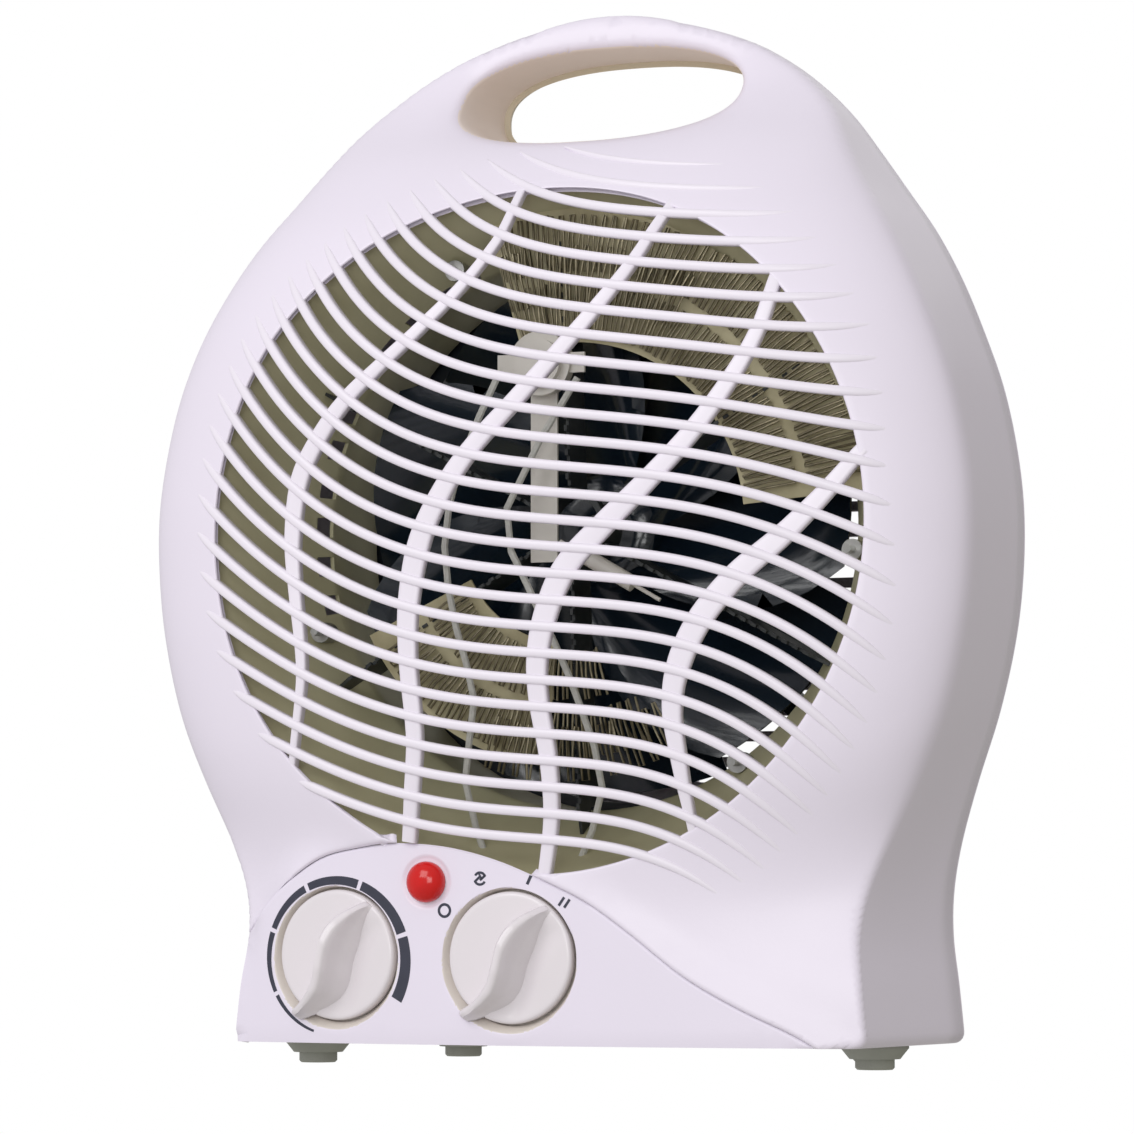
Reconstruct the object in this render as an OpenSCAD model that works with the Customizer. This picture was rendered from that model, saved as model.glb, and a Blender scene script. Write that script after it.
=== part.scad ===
// Upright fan convector heater.
// Frame: +Z up, the louvred front faces -Y, origin on the resting surface under the middle of the box.

/* [Housing] */
// Wall thickness of both shells
wall = 2.5; // [2.2:0.1:2.8]
// Radius of the louvred outlet
outlet_r = 84; // [82:0.5:85]
// Half length of the carrying hole
grip_a = 37.5; // [34:0.5:38]
// Half height of the carrying hole
grip_b = 13.6; // [11:0.2:13.8]

/* [Louvre] */
// Thickness of one slat
slat_t = 2.3; // [1.8:0.1:2.8]
// Depth of one slat, front to back
slat_d = 4.5; // [3.5:0.5:8]
// Number of slats
slats = 25; // [15:1:25]
// Number of intake slots in the back, each side of the middle
intake_rows = 9; // [5:1:9]

/* [Controls] */
// Diameter of a knob
knob_d = 31.8; // [30:0.1:32]
// Diameter of a control spindle
spindle_d = 6; // [5:0.5:6]
// Running clearance on radius of shafts and spindles
run_fit = 0.05; // [0.03:0.01:0.08]

/* [Fan] */
// Diameter of the impeller
fan_d = 132; // [110:1:133]
// Number of blades
blades = 7; // [5:1:9]
// Pitch of a blade from the plane of rotation
blade_pitch = 28; // [20:1:32]
// Diameter of the motor shaft
shaft_d = 4; // [3:0.5:4]

/* [Heating] */
// Bends in each coil
bends = 46; // [20:2:60]
// Thickness of the resistance wire
wire_t = 0.9; // [0.7:0.1:1.2]

/* [Hidden] */
$fn = 64;
seam = 6;          // the plane between the front and the rear shell
sleeve = 23.5;     // back end of the front shell's handle sleeve
zo = 131;          // height of the outlet's centre
zf = 133;          // height of the fan's axis
base = 6;          // underside of the shells, above the feet
grip_z = 242.8;    // middle of the carrying hole
pan_r = 425;       // bow of the control panel
pan_y = -53;       // front of the control panel on the centre line
knob_a = [-51.9, 27.6];
knob_b = [-5.1, 27.1];
lamp_p = [-27.3, 45.3];
foot_p = [[-73.6, -12], [73.6, -12]];
foot_q = [[-56, 42], [56, 42]];
post_lo = [66, 58];
post_hi = [57, 214];

// Rows up the side: height, half width at the front edge, half width at the seam, edge depth, crown
T = [[6,82,91,-45,8],[20,80.6,89.6,-44.6,8.4],[32,79.5,88.2,-42.5,10.3],[43,81.2,88.4,-40,13],[55,86,90.5,-38,16.5],
     [70,93.2,94.8,-37.4,20],[87,100,100.4,-37.3,22],[105,104.3,104.6,-37.3,23],[121,106.2,106.5,-37.3,23],[137,106.4,106.7,-37.3,23],
     [152,104.4,105,-37.2,22.5],[167,100.8,101.7,-36.8,22],[181,95.6,96.8,-35.5,21.5],[194,89.4,91.4,-32.5,20],[206,82.4,85,-28.5,18.5],
     [217,75,77.5,-23,15.6],[227,69,70.5,-17,11.8],[236,63.5,63.8,-10.5,6.8],[244,56,56,-5.5,3.4],[251,46.8,47,-2.5,2],
     [257,35,36,-1,1.2],[262,19,20,0,0.5],[265,0,0,0.5,0]];
NT = len(T);

function seg(z, i=0) = (i >= NT-2 || z < T[i+1][0]) ? i : seg(z, i+1);
function sl(i, c) = i == 0 ? (T[1][c]-T[0][c])/(T[1][0]-T[0][0])
    : i == NT-1 ? (T[i][c]-T[i-1][c])/(T[i][0]-T[i-1][0])
    : (T[i+1][c]-T[i-1][c])/(T[i+1][0]-T[i-1][0]);
function col(z0, c) = let(z = min(max(z0, T[0][0]), T[NT-1][0]), i = seg(z), h = T[i+1][0]-T[i][0], t = (z-T[i][0])/h)
    (2*t*t*t-3*t*t+1)*T[i][c] + (t*t*t-2*t*t+t)*h*sl(i,c) + (3*t*t-2*t*t*t)*T[i+1][c] + (t*t*t-t*t)*h*sl(i+1,c);
function ease(t) = let(k = min(max(t, 0), 1)) k*k*(3-2*k);
// Front surface: a crowned nose that leans back towards the handle
function face(x, z) = let(k = ease((z-30)/50), w = max(col(z,1), 1), t = min(abs(x)/w, 1))
    col(z,3) - col(z,4)*pow(1-pow(t, 2+1.2*k), 1-0.4*k);
// Back surface
function back(x, z) = let(w = max(col(z,2)*backw(z), 1), t = min(abs(x)/w, 1))
    backy(z) + (1.5+7.7*ease((236-z)/44))*pow(1-pow(t, 4), 0.8);
function backw(z) = 0.80 + 0.14*ease((z-195)/60);
function backy(z) = 52 - 24*ease((z-196)/42);

// One outline ring: right side up, left side down, then along the bottom
NB = 5;
function ring(c) = concat([for (i=[0:NT-1]) [T[i][c], T[i][0]]], [for (i=[NT-2:-1:0]) [-T[i][c], T[i][0]]],
    [for (i=[1:NB]) [-T[0][c] + 2*T[0][c]*i/(NB+1), T[0][0]]]);
NR = 2*NT-1+NB;
cz = 120;
function shrink(p, d) = let(v = [p[0], p[1]-cz], r = norm(v)) [v[0]*(1-d/r), cz+v[1]*(1-d/r)];
function scl(p, s) = [p[0]*s, cz+(p[1]-cz)*s];
function stitch(n, m) = [for (i=[0:m-2], k=[0:n-1]) each [[i*n+k, (i+1)*n+(k+1)%n, i*n+(k+1)%n], [i*n+k, (i+1)*n+k, (i+1)*n+(k+1)%n]]];
module loft(rings, a, b) {
    n = len(rings[0]); m = len(rings);
    polyhedron(points = concat([for (r=rings) each r], [a, b]),
        faces = concat(stitch(n, m), [for (k=[0:n-1]) [n*m, k, (k+1)%n]], [for (k=[0:n-1]) [n*m+1, (m-1)*n+(k+1)%n, (m-1)*n+k]]));
}
SS = [1, 0.985, 0.95, 0.9, 0.82, 0.7, 0.5, 0.25];
SR = [1, 0.985, 0.95, 0.9, 0.85, 0.8, 0.74, 0.66, 0.54, 0.3];
module front_form(d, dy, y0) {
    loft(concat([[for (p=ring(2)) let(q = shrink(p, d)) [q[0], y0, q[1]]]],
        [for (s=SS) [for (p=ring(1)) let(q = scl(shrink(p, d), s), o = scl(p, s)) [q[0], min(face(o[0], o[1])+dy, seam-0.5), q[1]]]]),
        [0, y0, cz], [0, face(0, cz)+dy, cz]);
}
function rearp(p) = [p[0]*backw(p[1]), p[1] - 2.5*ease((p[1]-200)/60)];
module flipped() { mirror([0,1,0]) children(); }

// Shapes along Y
module ycyl(r, y0, y1, x=0, z=0, fn=64) { translate([x, y1, z]) rotate([90,0,0]) cylinder(r=r, h=y1-y0, $fn=fn); }
module yslab(y0, y1) { translate([0, y1, 0]) rotate([90,0,0]) linear_extrude(height=y1-y0) children(); }
function sp(v) = v;
module grip(d=0) { polygon([for (i=[0:47]) let(a=i*7.5) [0.6+(grip_a+d)*sp(cos(a)), grip_z+(grip_b+d)*sp(sin(a))]]); }
// Place on the bowed panel: local -Y points out of the panel, the origin is on its face
function pang(x) = asin(x/pan_r);
module on_panel(p) { translate([0, pan_y+pan_r, 0]) rotate([0,0,pang(p[0])]) translate([0, -pan_r, p[1]]) children(); }
// Outline of the control panel: bottom edge, then back over the arc
PAN = [[-81.6,6],[70,6],[64,9.5],[51.6,15.3],[38.5,22.7],[25.2,32.9],[15,40],[5.3,44.8],[-8,50.3],[-21.4,53.7],[-35,54.8],[-45,53.8],[-56.6,51.2],[-67.4,44.4],[-74.5,37.5],[-79.6,31.5],[-80.6,20]];

// Louvre rule: height of slat centre lines across the outlet
function slat_z0(j) = 55.8 + 6.3*j + 0.0105*j*j;
function slat_z(j, x) = let(t = x/80, z0 = slat_z0(j), u = (z0-130)/80)
    z0 + t*(-9.3-8.6*u-7.5*u*u-2.3*u*u*u) + t*t*(11+10.4*u+11.3*u*u+12.7*u*u*u) - t*t*t*(25+6.3*u+22.9*u*u) + t*t*t*t*(2.2+28.5*u+1.1*u*u);
function outside(x, z) = x*x+(z-zo)*(z-zo) > (outlet_r+2)*(outlet_r+2);
function slat_end(j, x, s) = (abs(x) > 92 || outside(x, slat_z(j,x))) ? x : slat_end(j, x+s, s);
NSEG = 10;
module sweep4(sec) { // sec: list of closed 4-point sections
    m = len(sec);
    polyhedron(points = [for (s=sec) each s], faces = concat(stitch(4, m), [[0,1,2],[0,2,3]],
        [[4*m-1,4*m-2,4*m-3],[4*m-1,4*m-3,4*m-4]]));
}
module slat(j) {
    a = slat_end(j, 0, -1); b = slat_end(j, 0, 1);
    sweep4([for (i=[0:NSEG]) let(x = a+(b-a)*i/NSEG, z = slat_z(j,x), m = (slat_z(j,x+0.5)-slat_z(j,x-0.5)), h = slat_t/2*sqrt(1+m*m), y = face(x,z))
        [[x, y-0.4, z-h], [x, min(y+slat_d, -34.4), z-h], [x, min(y+slat_d, -34.4), z+h], [x, y-0.4, z+h]]]);
}
// Four cross ribs, each with its own swing: [x, z]
RIBS = [[[-8,214],[-12,199],[-28,180],[-46,164],[-59,144],[-61,125],[-58.7,104],[-59,92],[-61.5,78]],
        [[31.6,207],[25.5,194],[7.3,171],[-13,150],[-26.3,128],[-29.7,104],[-28.5,75],[-31.8,54]],
        [[62,189],[58.8,177],[43,152],[20.8,130],[6.7,110],[4,92],[6.9,70],[3.7,47.5]],
        [[82,145.4],[74,136],[53,117.5],[39.3,95],[38,86],[39.6,72],[41,56]]];
RIBW = [4.2, 5.2, 6.4, 6.4];
function cr(P, u) = let(n = len(P), i = min(floor(u), n-2), t = u-i, a = P[max(i-1,0)], b = P[i], c = P[i+1], d = P[min(i+2,n-1)])
    0.5*(2*b + (c-a)*t + (2*a-5*b+4*c-d)*t*t + (3*b-a-3*c+d)*t*t*t);
module rib(k) {
    P = RIBS[k]; n = 2*(len(P)-1);
    sweep4([for (i=[0:n]) let(u = i/2, q = cr(P,u), e = cr(P, min(u+0.05, len(P)-1)) - cr(P, max(u-0.05, 0)), t = e/norm(e),
            w = RIBW[k]/2*(0.45+0.55*sin(180*i/n)), nx = [-t[1], t[0]]*w, y = face(q[0], q[1]))
        [[q[0]-nx[0], y+0.3, q[1]-nx[1]], [q[0]-nx[0], min(y+slat_d-1, -34.2), q[1]-nx[1]], [q[0]+nx[0], min(y+slat_d-1, -34.2), q[1]+nx[1]], [q[0]+nx[0], y+0.3, q[1]+nx[1]]]]);
}
module rbox(x0, x1, y0, y1, z0, z1, r=1) { hull() for (x=[x0+r, x1-r], z=[z0+r, z1-r]) translate([x, y1, z]) rotate([90,0,0]) cylinder(r=r, h=y1-y0, $fn=16); }

// --- housing -------------------------------------------------------------
module front_shell() {
    color([0.90,0.87,0.92]) union() {
        difference() {
            front_form(0, 0, seam);
            front_form(wall, wall+0.4, seam+1);
            translate([0, 0, zo]) rotate([90,0,0]) cylinder(r=outlet_r, h=90, $fn=96);
            yslab(-90, 40) grip();
            for (f=foot_p) translate([f[0], f[1], 0]) cylinder(r=1.3, h=14, $fn=24);
            intersection() { // seat of the control panel
                yslab(-90, -30) offset(delta=0.15, $fn=12) polygon(PAN);
                difference() { translate([-100,-90,5]) cube([200,60,52]); translate([0, pan_y+pan_r, 0]) cylinder(r=pan_r-wall-0.1, h=80, $fn=720); }
            }
            yslab(-90, -40.5) offset(delta=-3) polygon(PAN); // window behind the panel
            for (p=[knob_a, knob_b]) on_panel(p) ycyl(knob_d/2+2.9, 1, 6.5);
        }
        intersection() { front_form(0, 0, seam); yslab(-40, seam) difference() { grip(2); grip(); } }
        yslab(seam-1, sleeve) difference() { grip(2); grip(); }
        for (j=[0:slats-1]) slat(j);
        for (k=[0:3]) rib(k);
        for (s=[-1,1]) { // screw bosses into the side walls
            difference() { union() { ycyl(4, -18, seam, s*post_lo[0], post_lo[1], 24); hull() { ycyl(1, -18, seam, s*post_lo[0], post_lo[1], 12); ycyl(1, -18, seam, s*87, post_lo[1], 12); } } ycyl(1.3, -14, seam+1, s*post_lo[0], post_lo[1], 24); }
            difference() { union() { ycyl(4, -18, seam, s*post_hi[0], post_hi[1], 24); hull() { ycyl(1, -18, seam, s*post_hi[0], post_hi[1], 12); ycyl(1, -18, seam, s*(post_hi[0]+13), post_hi[1]+5, 12); } } ycyl(1.3, -14, seam+1, s*post_hi[0], post_hi[1], 24); }
        }
        for (t=tabs) difference() { // tabs behind the control panel
            hull() { ycyl(1, t[2], t[2]+2.4, t[0]-4, t[1]+3, 12); ycyl(1, t[2], t[2]+2.4, t[0]+4, t[1]+3, 12); ycyl(1, t[2], t[2]+2.4, t[0]-4, 7.5, 12); ycyl(1, t[2], t[2]+2.4, t[0]+4, 7.5, 12); }
            ycyl(1.5, t[2]-1, t[2]+4, t[0], t[1], 24);
        }
        for (f=foot_p) difference() { translate([f[0], f[1], 7]) cylinder(r=4.5, h=9, $fn=24); translate([f[0], f[1], 5]) cylinder(r=1.3, h=12, $fn=24); }
    }
}
tabs = [[-70, 15, -37], [20, 14, -41], [44, 13, -39.5]];

module control_panel() {
    color([0.90,0.88,0.93]) difference() {
        union() {
            intersection() {
                yslab(-80, -30) polygon(PAN);
                difference() { translate([0, pan_y+pan_r, 5]) cylinder(r=pan_r, h=60, $fn=720); translate([0, pan_y+pan_r, 4]) cylinder(r=pan_r-wall, h=62, $fn=720); }
            }
            for (p=[knob_a, knob_b]) on_panel(p) ycyl(knob_d/2+2.6, wall-0.6, 6.2);
            on_panel(lamp_p) ycyl(7, wall-0.6, 5);
            ycyl(3, -46, -37.1, -70, 15, 32); ycyl(3, -51, -41.1, 20, 14, 32); ycyl(3, -49, -39.6, 44, 13, 32);
        }
        for (p=[knob_a, knob_b]) on_panel(p) {
            ycyl(knob_d/2+1, -2, 3.6);
            ycyl(spindle_d/2+2, -2, 8);
            for (s=[-1,1]) { ycyl(1.6, -2, 8, s*11, 0, 32); ycyl(3, -2, 4.8, s*11, 0, 32); }
        }
        on_panel(lamp_p) ycyl(4.6, -3, 8);
        ycyl(1.1, -44, -36, -70, 15, 32); ycyl(1.1, -49, -40, 20, 14, 32); ycyl(1.1, -47, -38, 44, 13, 32);
    }
}

module rear_shell() {
    color([0.88,0.86,0.90]) union() {
        difference() {
            flipped() rear_mirror(0, 0, 0);
            flipped() rear_mirror(wall, wall+0.2, -1);
            yslab(-10, 80) grip(0.3);
            for (i=[-intake_rows:intake_rows]) let(h = i*6.6, c = sqrt(max(64*64-h*h, 0)))
                if (c > 12) for (s=[-1,1]) yslab(40, 80) polygon([[s*2.5,zf+h-1.4],[s*3.3,zf+h-2],[s*(c-0.8),zf+h-2],[s*c,zf+h-1.2],[s*c,zf+h+1.2],[s*(c-0.8),zf+h+2],[s*3.3,zf+h+2],[s*2.5,zf+h+1.4]]);
            ycyl(5.6, 40, 80, -46, 24, 32);
            for (f=foot_q) translate([f[0], f[1], 0]) cylinder(r=1.3, h=14, $fn=24);
            for (s=[-1,1]) { ycyl(2, 0, 80, s*post_lo[0], post_lo[1], 24); ycyl(4.2, 36, 80, s*post_lo[0], post_lo[1], 24);
                ycyl(2, 0, 80, s*post_hi[0], post_hi[1], 24); ycyl(4.2, 28, 80, s*post_hi[0], post_hi[1], 24); }
        }
        intersection() { flipped() rear_mirror(0, 0, 0); yslab(sleeve+0.2, 70) difference() { grip(2.4); grip(0.3); } }
        intersection() { flipped() rear_mirror(0.5, 0.5, 0); union() for (s=[-1,1]) {
            difference() { ycyl(6, seam, 70, s*post_lo[0], post_lo[1], 24); ycyl(2, 0, 80, s*post_lo[0], post_lo[1], 24); ycyl(4.2, 36, 80, s*post_lo[0], post_lo[1], 24); }
            difference() { ycyl(6, seam, 70, s*post_hi[0], post_hi[1], 24); ycyl(2, 0, 80, s*post_hi[0], post_hi[1], 24); ycyl(4.2, 28, 80, s*post_hi[0], post_hi[1], 24); }
        } }
        intersection() { flipped() rear_mirror(0.5, 0.5, 0); for (a=[45,135,225,315]) difference() { // posts for the motor mount
            ycyl(4.2, 24.2, 70, 76*cos(a), zf+76*sin(a), 24); ycyl(1.3, 20, 40, 76*cos(a), zf+76*sin(a), 24); } }
        for (f=foot_q) difference() { translate([f[0], f[1], 7]) cylinder(r=4.5, h=9, $fn=24); translate([f[0], f[1], 5]) cylinder(r=1.3, h=12, $fn=24); }
        // clamp posts and terminal posts on the floor
        difference() { rbox(-58, -34, 44, 52, 7, 19.5, 1); for (x=[-54,-38]) translate([x, 48, 12]) cylinder(r=1.2, h=10, $fn=24); }
        difference() { rbox(18, 50, 20, 32, 7, 15.5, 1); translate([34, 26, 9]) cylinder(r=1.2, h=10, $fn=24); }
    }
}
module rear_mirror(d, dy, o) { // the rear form, mirrored so that its faces wind outwards
    loft(concat([[for (p=ring(2)) let(q = shrink(p, d)) [q[0], -(seam+o), q[1]]]],
        [for (s=SR) [for (p=ring(2)) let(r = rearp(p), q = scl(shrink(r, d), s), g = scl(r, s)) [q[0], -max(back(g[0], g[1])-dy, seam+0.5), q[1]]]]),
        [0, -(seam+o), cz], [0, -(back(0, cz)-dy), cz]);
}

module foot() {
    rotate_extrude() polygon([[0,0],[4.3,0],[4.8,0.5],[4.8,2.6],[6.2,2.6],[8.3,5.2],[8.3,base],[0,base]]);
}
module foot_cut() { translate([0,0,-0.1]) cylinder(r=3, h=2.1); translate([0,0,-1]) cylinder(r=1.6, h=10); }
module front_feet() { color([0.55,0.56,0.53]) for (f=foot_p) translate([f[0], f[1], 0]) difference() { foot(); foot_cut(); } }
module rear_feet() { color([0.55,0.56,0.53]) for (f=foot_q) translate([f[0], f[1], 0]) difference() { foot(); foot_cut(); } }
module screw(d, l, hd, hh) { // head at z 0..hh, shank upwards
    difference() { cylinder(d=hd, h=hh); translate([-hd*0.3, -0.35, -0.1]) cube([hd*0.6, 0.7, hh*0.5]); translate([-0.35, -hd*0.3, -0.1]) cube([0.7, hd*0.6, hh*0.5]); }
    translate([0,0,hh-0.01]) cylinder(d=d, h=l-0.8); translate([0,0,hh+l-0.82]) cylinder(d1=d, d2=d*0.4, h=0.8);
}
module foot_screws() { color("silver") for (f=concat(foot_p, foot_q)) translate([f[0], f[1], 0.6]) screw(2.6, 12, 5.4, 1.35); }
module yscrew(x, y, z, d, l, hd, hh) { translate([x, y, z]) rotate([90,0,0]) screw(d, l, hd, hh); } // head towards +Y
module housing_screws() { color("silver") for (s=[-1,1]) { yscrew(s*post_lo[0], 38.4, post_lo[1], 2.6, 44, 6.4, 2.3); yscrew(s*post_hi[0], 30.4, post_hi[1], 2.6, 38, 6.4, 2.3); } }
module panel_screws() { color("silver") for (t=tabs) yscrew(t[0], t[2]+4.3, t[1], 2.2, 7.2, 5, 1.85); }

// --- controls ------------------------------------------------------------
function blade_y(u) = 3.2*sin(180*u/17)*(abs(u) < 17 ? 1 : 0);
module knob() {
    difference() {
        union() {
            ycyl(knob_d/2, -0.5, 2.9);
            ycyl(4.5, 2.8, 6);
            translate([0, -0.4, 0]) rotate([90,0,0]) linear_extrude(height=8.6)
                polygon(concat([for (i=[-9:9]) let(u=i*1.9) [u, blade_y(u)+1.2+1.3*cos(u*5)]], [for (i=[9:-1:-9]) let(u=i*1.9) [u, blade_y(u)-1.2-1.3*cos(u*5)]]));
        }
        ycyl(spindle_d/2, 1.3, 9);
    }
}
module thermostat_knob() { color([0.90,0.88,0.90]) on_panel(knob_a) rotate([0,-50,0]) knob(); }
module switch_knob() { color([0.90,0.88,0.90]) on_panel(knob_b) rotate([0,-46,0]) knob(); }
module spindle(l) { difference() { ycyl(spindle_d/2, 1.4, l); translate([-5, 1.3, spindle_d/2-0.8]) cube([10, 4.5, 2]); } }
module thermostat_spindle() { color("silver") on_panel(knob_a) spindle(19); }
module switch_spindle() { color("silver") on_panel(knob_b) spindle(17); }
module control_base(w, h, d) {
    difference() {
        union() { rbox(-w/2, w/2, 8.3, 8.3+d, -h/2, h/2, 2); rbox(-14.5, 14.5, 6.3, 8.4, -5, 5, 2); }
        ycyl(spindle_d/2+run_fit, 5, 8.3+d-3);
        for (s=[-1,1]) ycyl(1.2, 5, 14, s*11, 0, 32);
    }
}
module thermostat_body() { color([0.35,0.22,0.15]) on_panel(knob_a) difference() { control_base(26, 22, 14); ycyl(spindle_d/2+run_fit, 5, 30); } }
module thermostat_bimetal() { color([0.75,0.68,0.5]) on_panel(knob_a) difference() {
    union() { translate([-20, 24, -4.5]) cube([40, 0.9, 9]); translate([-15, 22.4, -4]) cube([5, 1.7, 8]); translate([10, 22.4, -4]) cube([5, 1.7, 8]); }
    ycyl(1.5, 22, 30, -12.5, 0, 32); ycyl(1.5, 22, 30, 12.5, 0, 32); } }
module switch_body() { color([0.92,0.92,0.90]) on_panel(knob_b) difference() { control_base(27, 27, 15); ycyl(spindle_d/2+run_fit, 5, 30); } }
module switch_tabs() { color([0.85,0.7,0.35]) on_panel(knob_b) for (i=[0:4]) rotate([0, 36+i*72, 0]) translate([-2.4, 23.35, 8]) cube([4.8, 8, 0.8]); }
module control_screws() { color("silver") for (p=[knob_a, knob_b]) on_panel(p) for (s=[-1,1]) translate([s*11, 3.7, 0]) rotate([-90,0,0]) screw(2.3, 8, 5, 1.05); }
module lamp_lens() { color([0.8,0.1,0.08]) on_panel(lamp_p) difference() {
    union() { translate([0, -0.02, 0]) intersection() { translate([0, 1.3, 0]) sphere(r=5.2); translate([-8,-8,-8]) cube([16,8,16]); }
        ycyl(4.5, -0.1, 6.5); }
    ycyl(3.2, -1.6, 9); } }
module neon_lamp() { color([0.95,0.75,0.6]) on_panel(lamp_p) { ycyl(2.9, 1.8, 12); translate([0,1.8,0]) intersection() { sphere(r=2.9); translate([-4,-4,-4]) cube([8,4.01,8]); } for (s=[-1,1]) ycyl(0.4, 11.9, 22, s*1.4, 0, 16); } }

// --- element -------------------------------------------------------------
module element_duct() {
    color([0.62,0.60,0.45]) translate([0,0,zf]) difference() {
        union() {
            rotate([90,0,0]) rotate_extrude($fn=96) polygon([[69,-19],[71.5,-19],[71.5,12],[85,32.3],[85,33.5],[82.5,33.5],[69,13]]);
            intersection() { difference() { ycyl(97, -33.4, -31.9, 0, 0, 96); ycyl(83.5, -38, -30, 0, 0, 96); } translate([-99, -40, -78]) cube([198, 10, 152]); }
            for (a=[45,135,225,315]) intersection() { ycyl(5, 17, 19, 76*cos(a), 76*sin(a), 32); difference() { ycyl(90, 10, 30); ycyl(69.5, 0, 40, 0, 0, 96); } }
        }
        for (a=[45,135,225,315]) ycyl(1.7, 10, 30, 76*cos(a), 76*sin(a), 32);
        for (a=[32, 92, 152, 212, 272, 332]) rotate([0,-a,0]) translate([70, -26, -0.7]) cube([14, 8, 1.4]); // mica slots
        for (a=[-6, 116, 200, 306]) ycyl(2.62, -25, -18, 72.5*cos(a), 72.5*sin(a), 32); // seats of the terminals
    }
}
module mica_formers() { // six arms that slot into the duct, held by a hub
    color([0.78,0.76,0.66]) translate([0,0,zf]) {
        for (a=[32:60:332]) rotate([0,-a,0]) rotate([90,0,0]) translate([0,0,14]) rotate([90,0,0]) translate([0,0,-0.5])
            linear_extrude(height=1) polygon([[8.5,0],[68.4,0],[68.4,5],[77.4,5],[77.4,11],[76.6,12],[8.5,12]]);
        difference() { ycyl(9.5, -27.4, -14.4); ycyl(8, -40, 0); }
    }
}
// Ring sector from angle a0 to a1
module sector(a0, a1, ra, rb) { n = 24; polygon(concat([for (i=[0:n]) let(a=a0+(a1-a0)*i/n) [rb*cos(a), zf+rb*sin(a)]], [for (i=[n:-1:0]) let(a=a0+(a1-a0)*i/n) [ra*cos(a), zf+ra*sin(a)]])); }
module mica_backs() { color([0.62,0.58,0.42]) { yslab(-27.0, -26.2) sector(6, 106, 45, 76.6); yslab(-27.0, -26.2) sector(208, 262, 29, 59); } }
// Zigzag wire on an arc: radius swings between ra and rb
module coil(a0, a1, ra, rb, y) {
    n = bends;
    pts = [for (i=[0:n]) let(a = a0+(a1-a0)*i/n, r = i%2 == 0 ? ra : rb) [r*cos(a), zf+r*sin(a)]];
    translate([0, y, 0]) rotate([90,0,0]) linear_extrude(height=wire_t) polygon(concat(
        [for (i=[0:n]) let(a = a0+(a1-a0)*i/n, r = (i%2 == 0 ? ra : rb)+wire_t*1.6) [r*cos(a), zf+r*sin(a)]],
        [for (i=[n:-1:0]) let(a = a0+(a1-a0)*i/n, r = (i%2 == 0 ? ra : rb)-wire_t*1.6) [r*cos(a), zf+r*sin(a)]]));
}
module upper_coil() { color([0.45,0.43,0.38]) { coil(9, 103, 47.5, 59, -27.1); coil(9, 103, 63.5, 75, -27.1); } }
module lower_coil() { color([0.45,0.43,0.38]) { coil(212, 285, 32, 42, -27.1); coil(212, 292, 46.5, 57, -27.1); } }
module element_terminals() { color([0.8,0.78,0.7]) for (a=[-6, 116, 200, 306]) let(r = 72.5) translate([r*cos(a), 0, zf+r*sin(a)]) { ycyl(2.6, -24, -18.5); ycyl(1, -28, -23.9); } }
module thermal_cutout() { color([0.82,0.82,0.80]) translate([-6, 0, zf+40]) { ycyl(8, -31.6, -28.2); ycyl(6, -33.6, -31.5); for (s=[-1,1]) translate([s*9-2.5, -30.5, -2.5]) cube([5, 0.8, 5]); translate([-3.5, -28.3, -49]) cube([7, 0.85, 53]); } }
module thermal_fuse() { color([0.92,0.92,0.90]) translate([14, -35.4, zf-12]) rotate([0,30,0]) { translate([-7,0,0]) rotate([0,90,0]) cylinder(r=2, h=14); translate([-15,0,0]) rotate([0,90,0]) cylinder(r=0.5, h=30); } }
// Sleeved leads from the element down to the controls
LEADS = [[[-17,-31.8,170],[-26,-34.6,148],[-30,-34.4,128],[-27,-34.2,108],[-22,-34.6,90],[-24,-35.4,70],[-18,-35.4,50]],
         [[4.2,-31.8,169],[-13,-35.5,137],[-8,-34.4,118],[-1,-34.4,104],[6,-34.6,88],[12,-35.4,68],[6,-35.4,50]]];
module lead(P, r) { m = 2*(len(P)-1); n = 8;
    rings = [for (i=[0:m]) let(u = i/2, q = cr(P,u), e = cr(P, min(u+0.05, len(P)-1)) - cr(P, max(u-0.05, 0)), t = e/norm(e), a = cross(t, [0,1,0]), x = a/norm(a), y = cross(t, x)) [for (k=[0:n-1]) q + r*(x*cos(k*360/n) + y*sin(k*360/n))]];
    loft(rings, P[0], P[len(P)-1]);
}
module element_leads() { color([0.85,0.85,0.82]) for (p=LEADS) lead(p, 0.9); }

// --- fan and motor -------------------------------------------------------
module motor_mount() {
    color([0.16,0.18,0.20]) translate([0,0,zf]) difference() {
        union() {
            difference() { ycyl(72, 19.05, 23, 0, 0, 96); ycyl(67.5, 18, 24, 0, 0, 96); }
            for (a=[45,135,225,315]) rotate([0,-a,0]) { translate([18, 19.05, -3]) cube([50, 3.95, 6]); ycyl(5, 19.05, 24.1, 76, 0, 32); }
            ycyl(20, 19.05, 23);
        }
        ycyl(7.2, 10, 30);
        for (a=[45,135,225,315]) ycyl(1.7, 10, 30, 76*cos(a), 76*sin(a), 32);
        for (s=[-1,1]) ycyl(1.7, 10, 30, s*14, 0, 32);
    }
}
module mount_screws() { color("silver") for (a=[45,135,225,315]) translate([76*cos(a), 15.1, zf+76*sin(a)]) rotate([-90,0,0]) screw(2.5, 18, 6, 1.85); }
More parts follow.
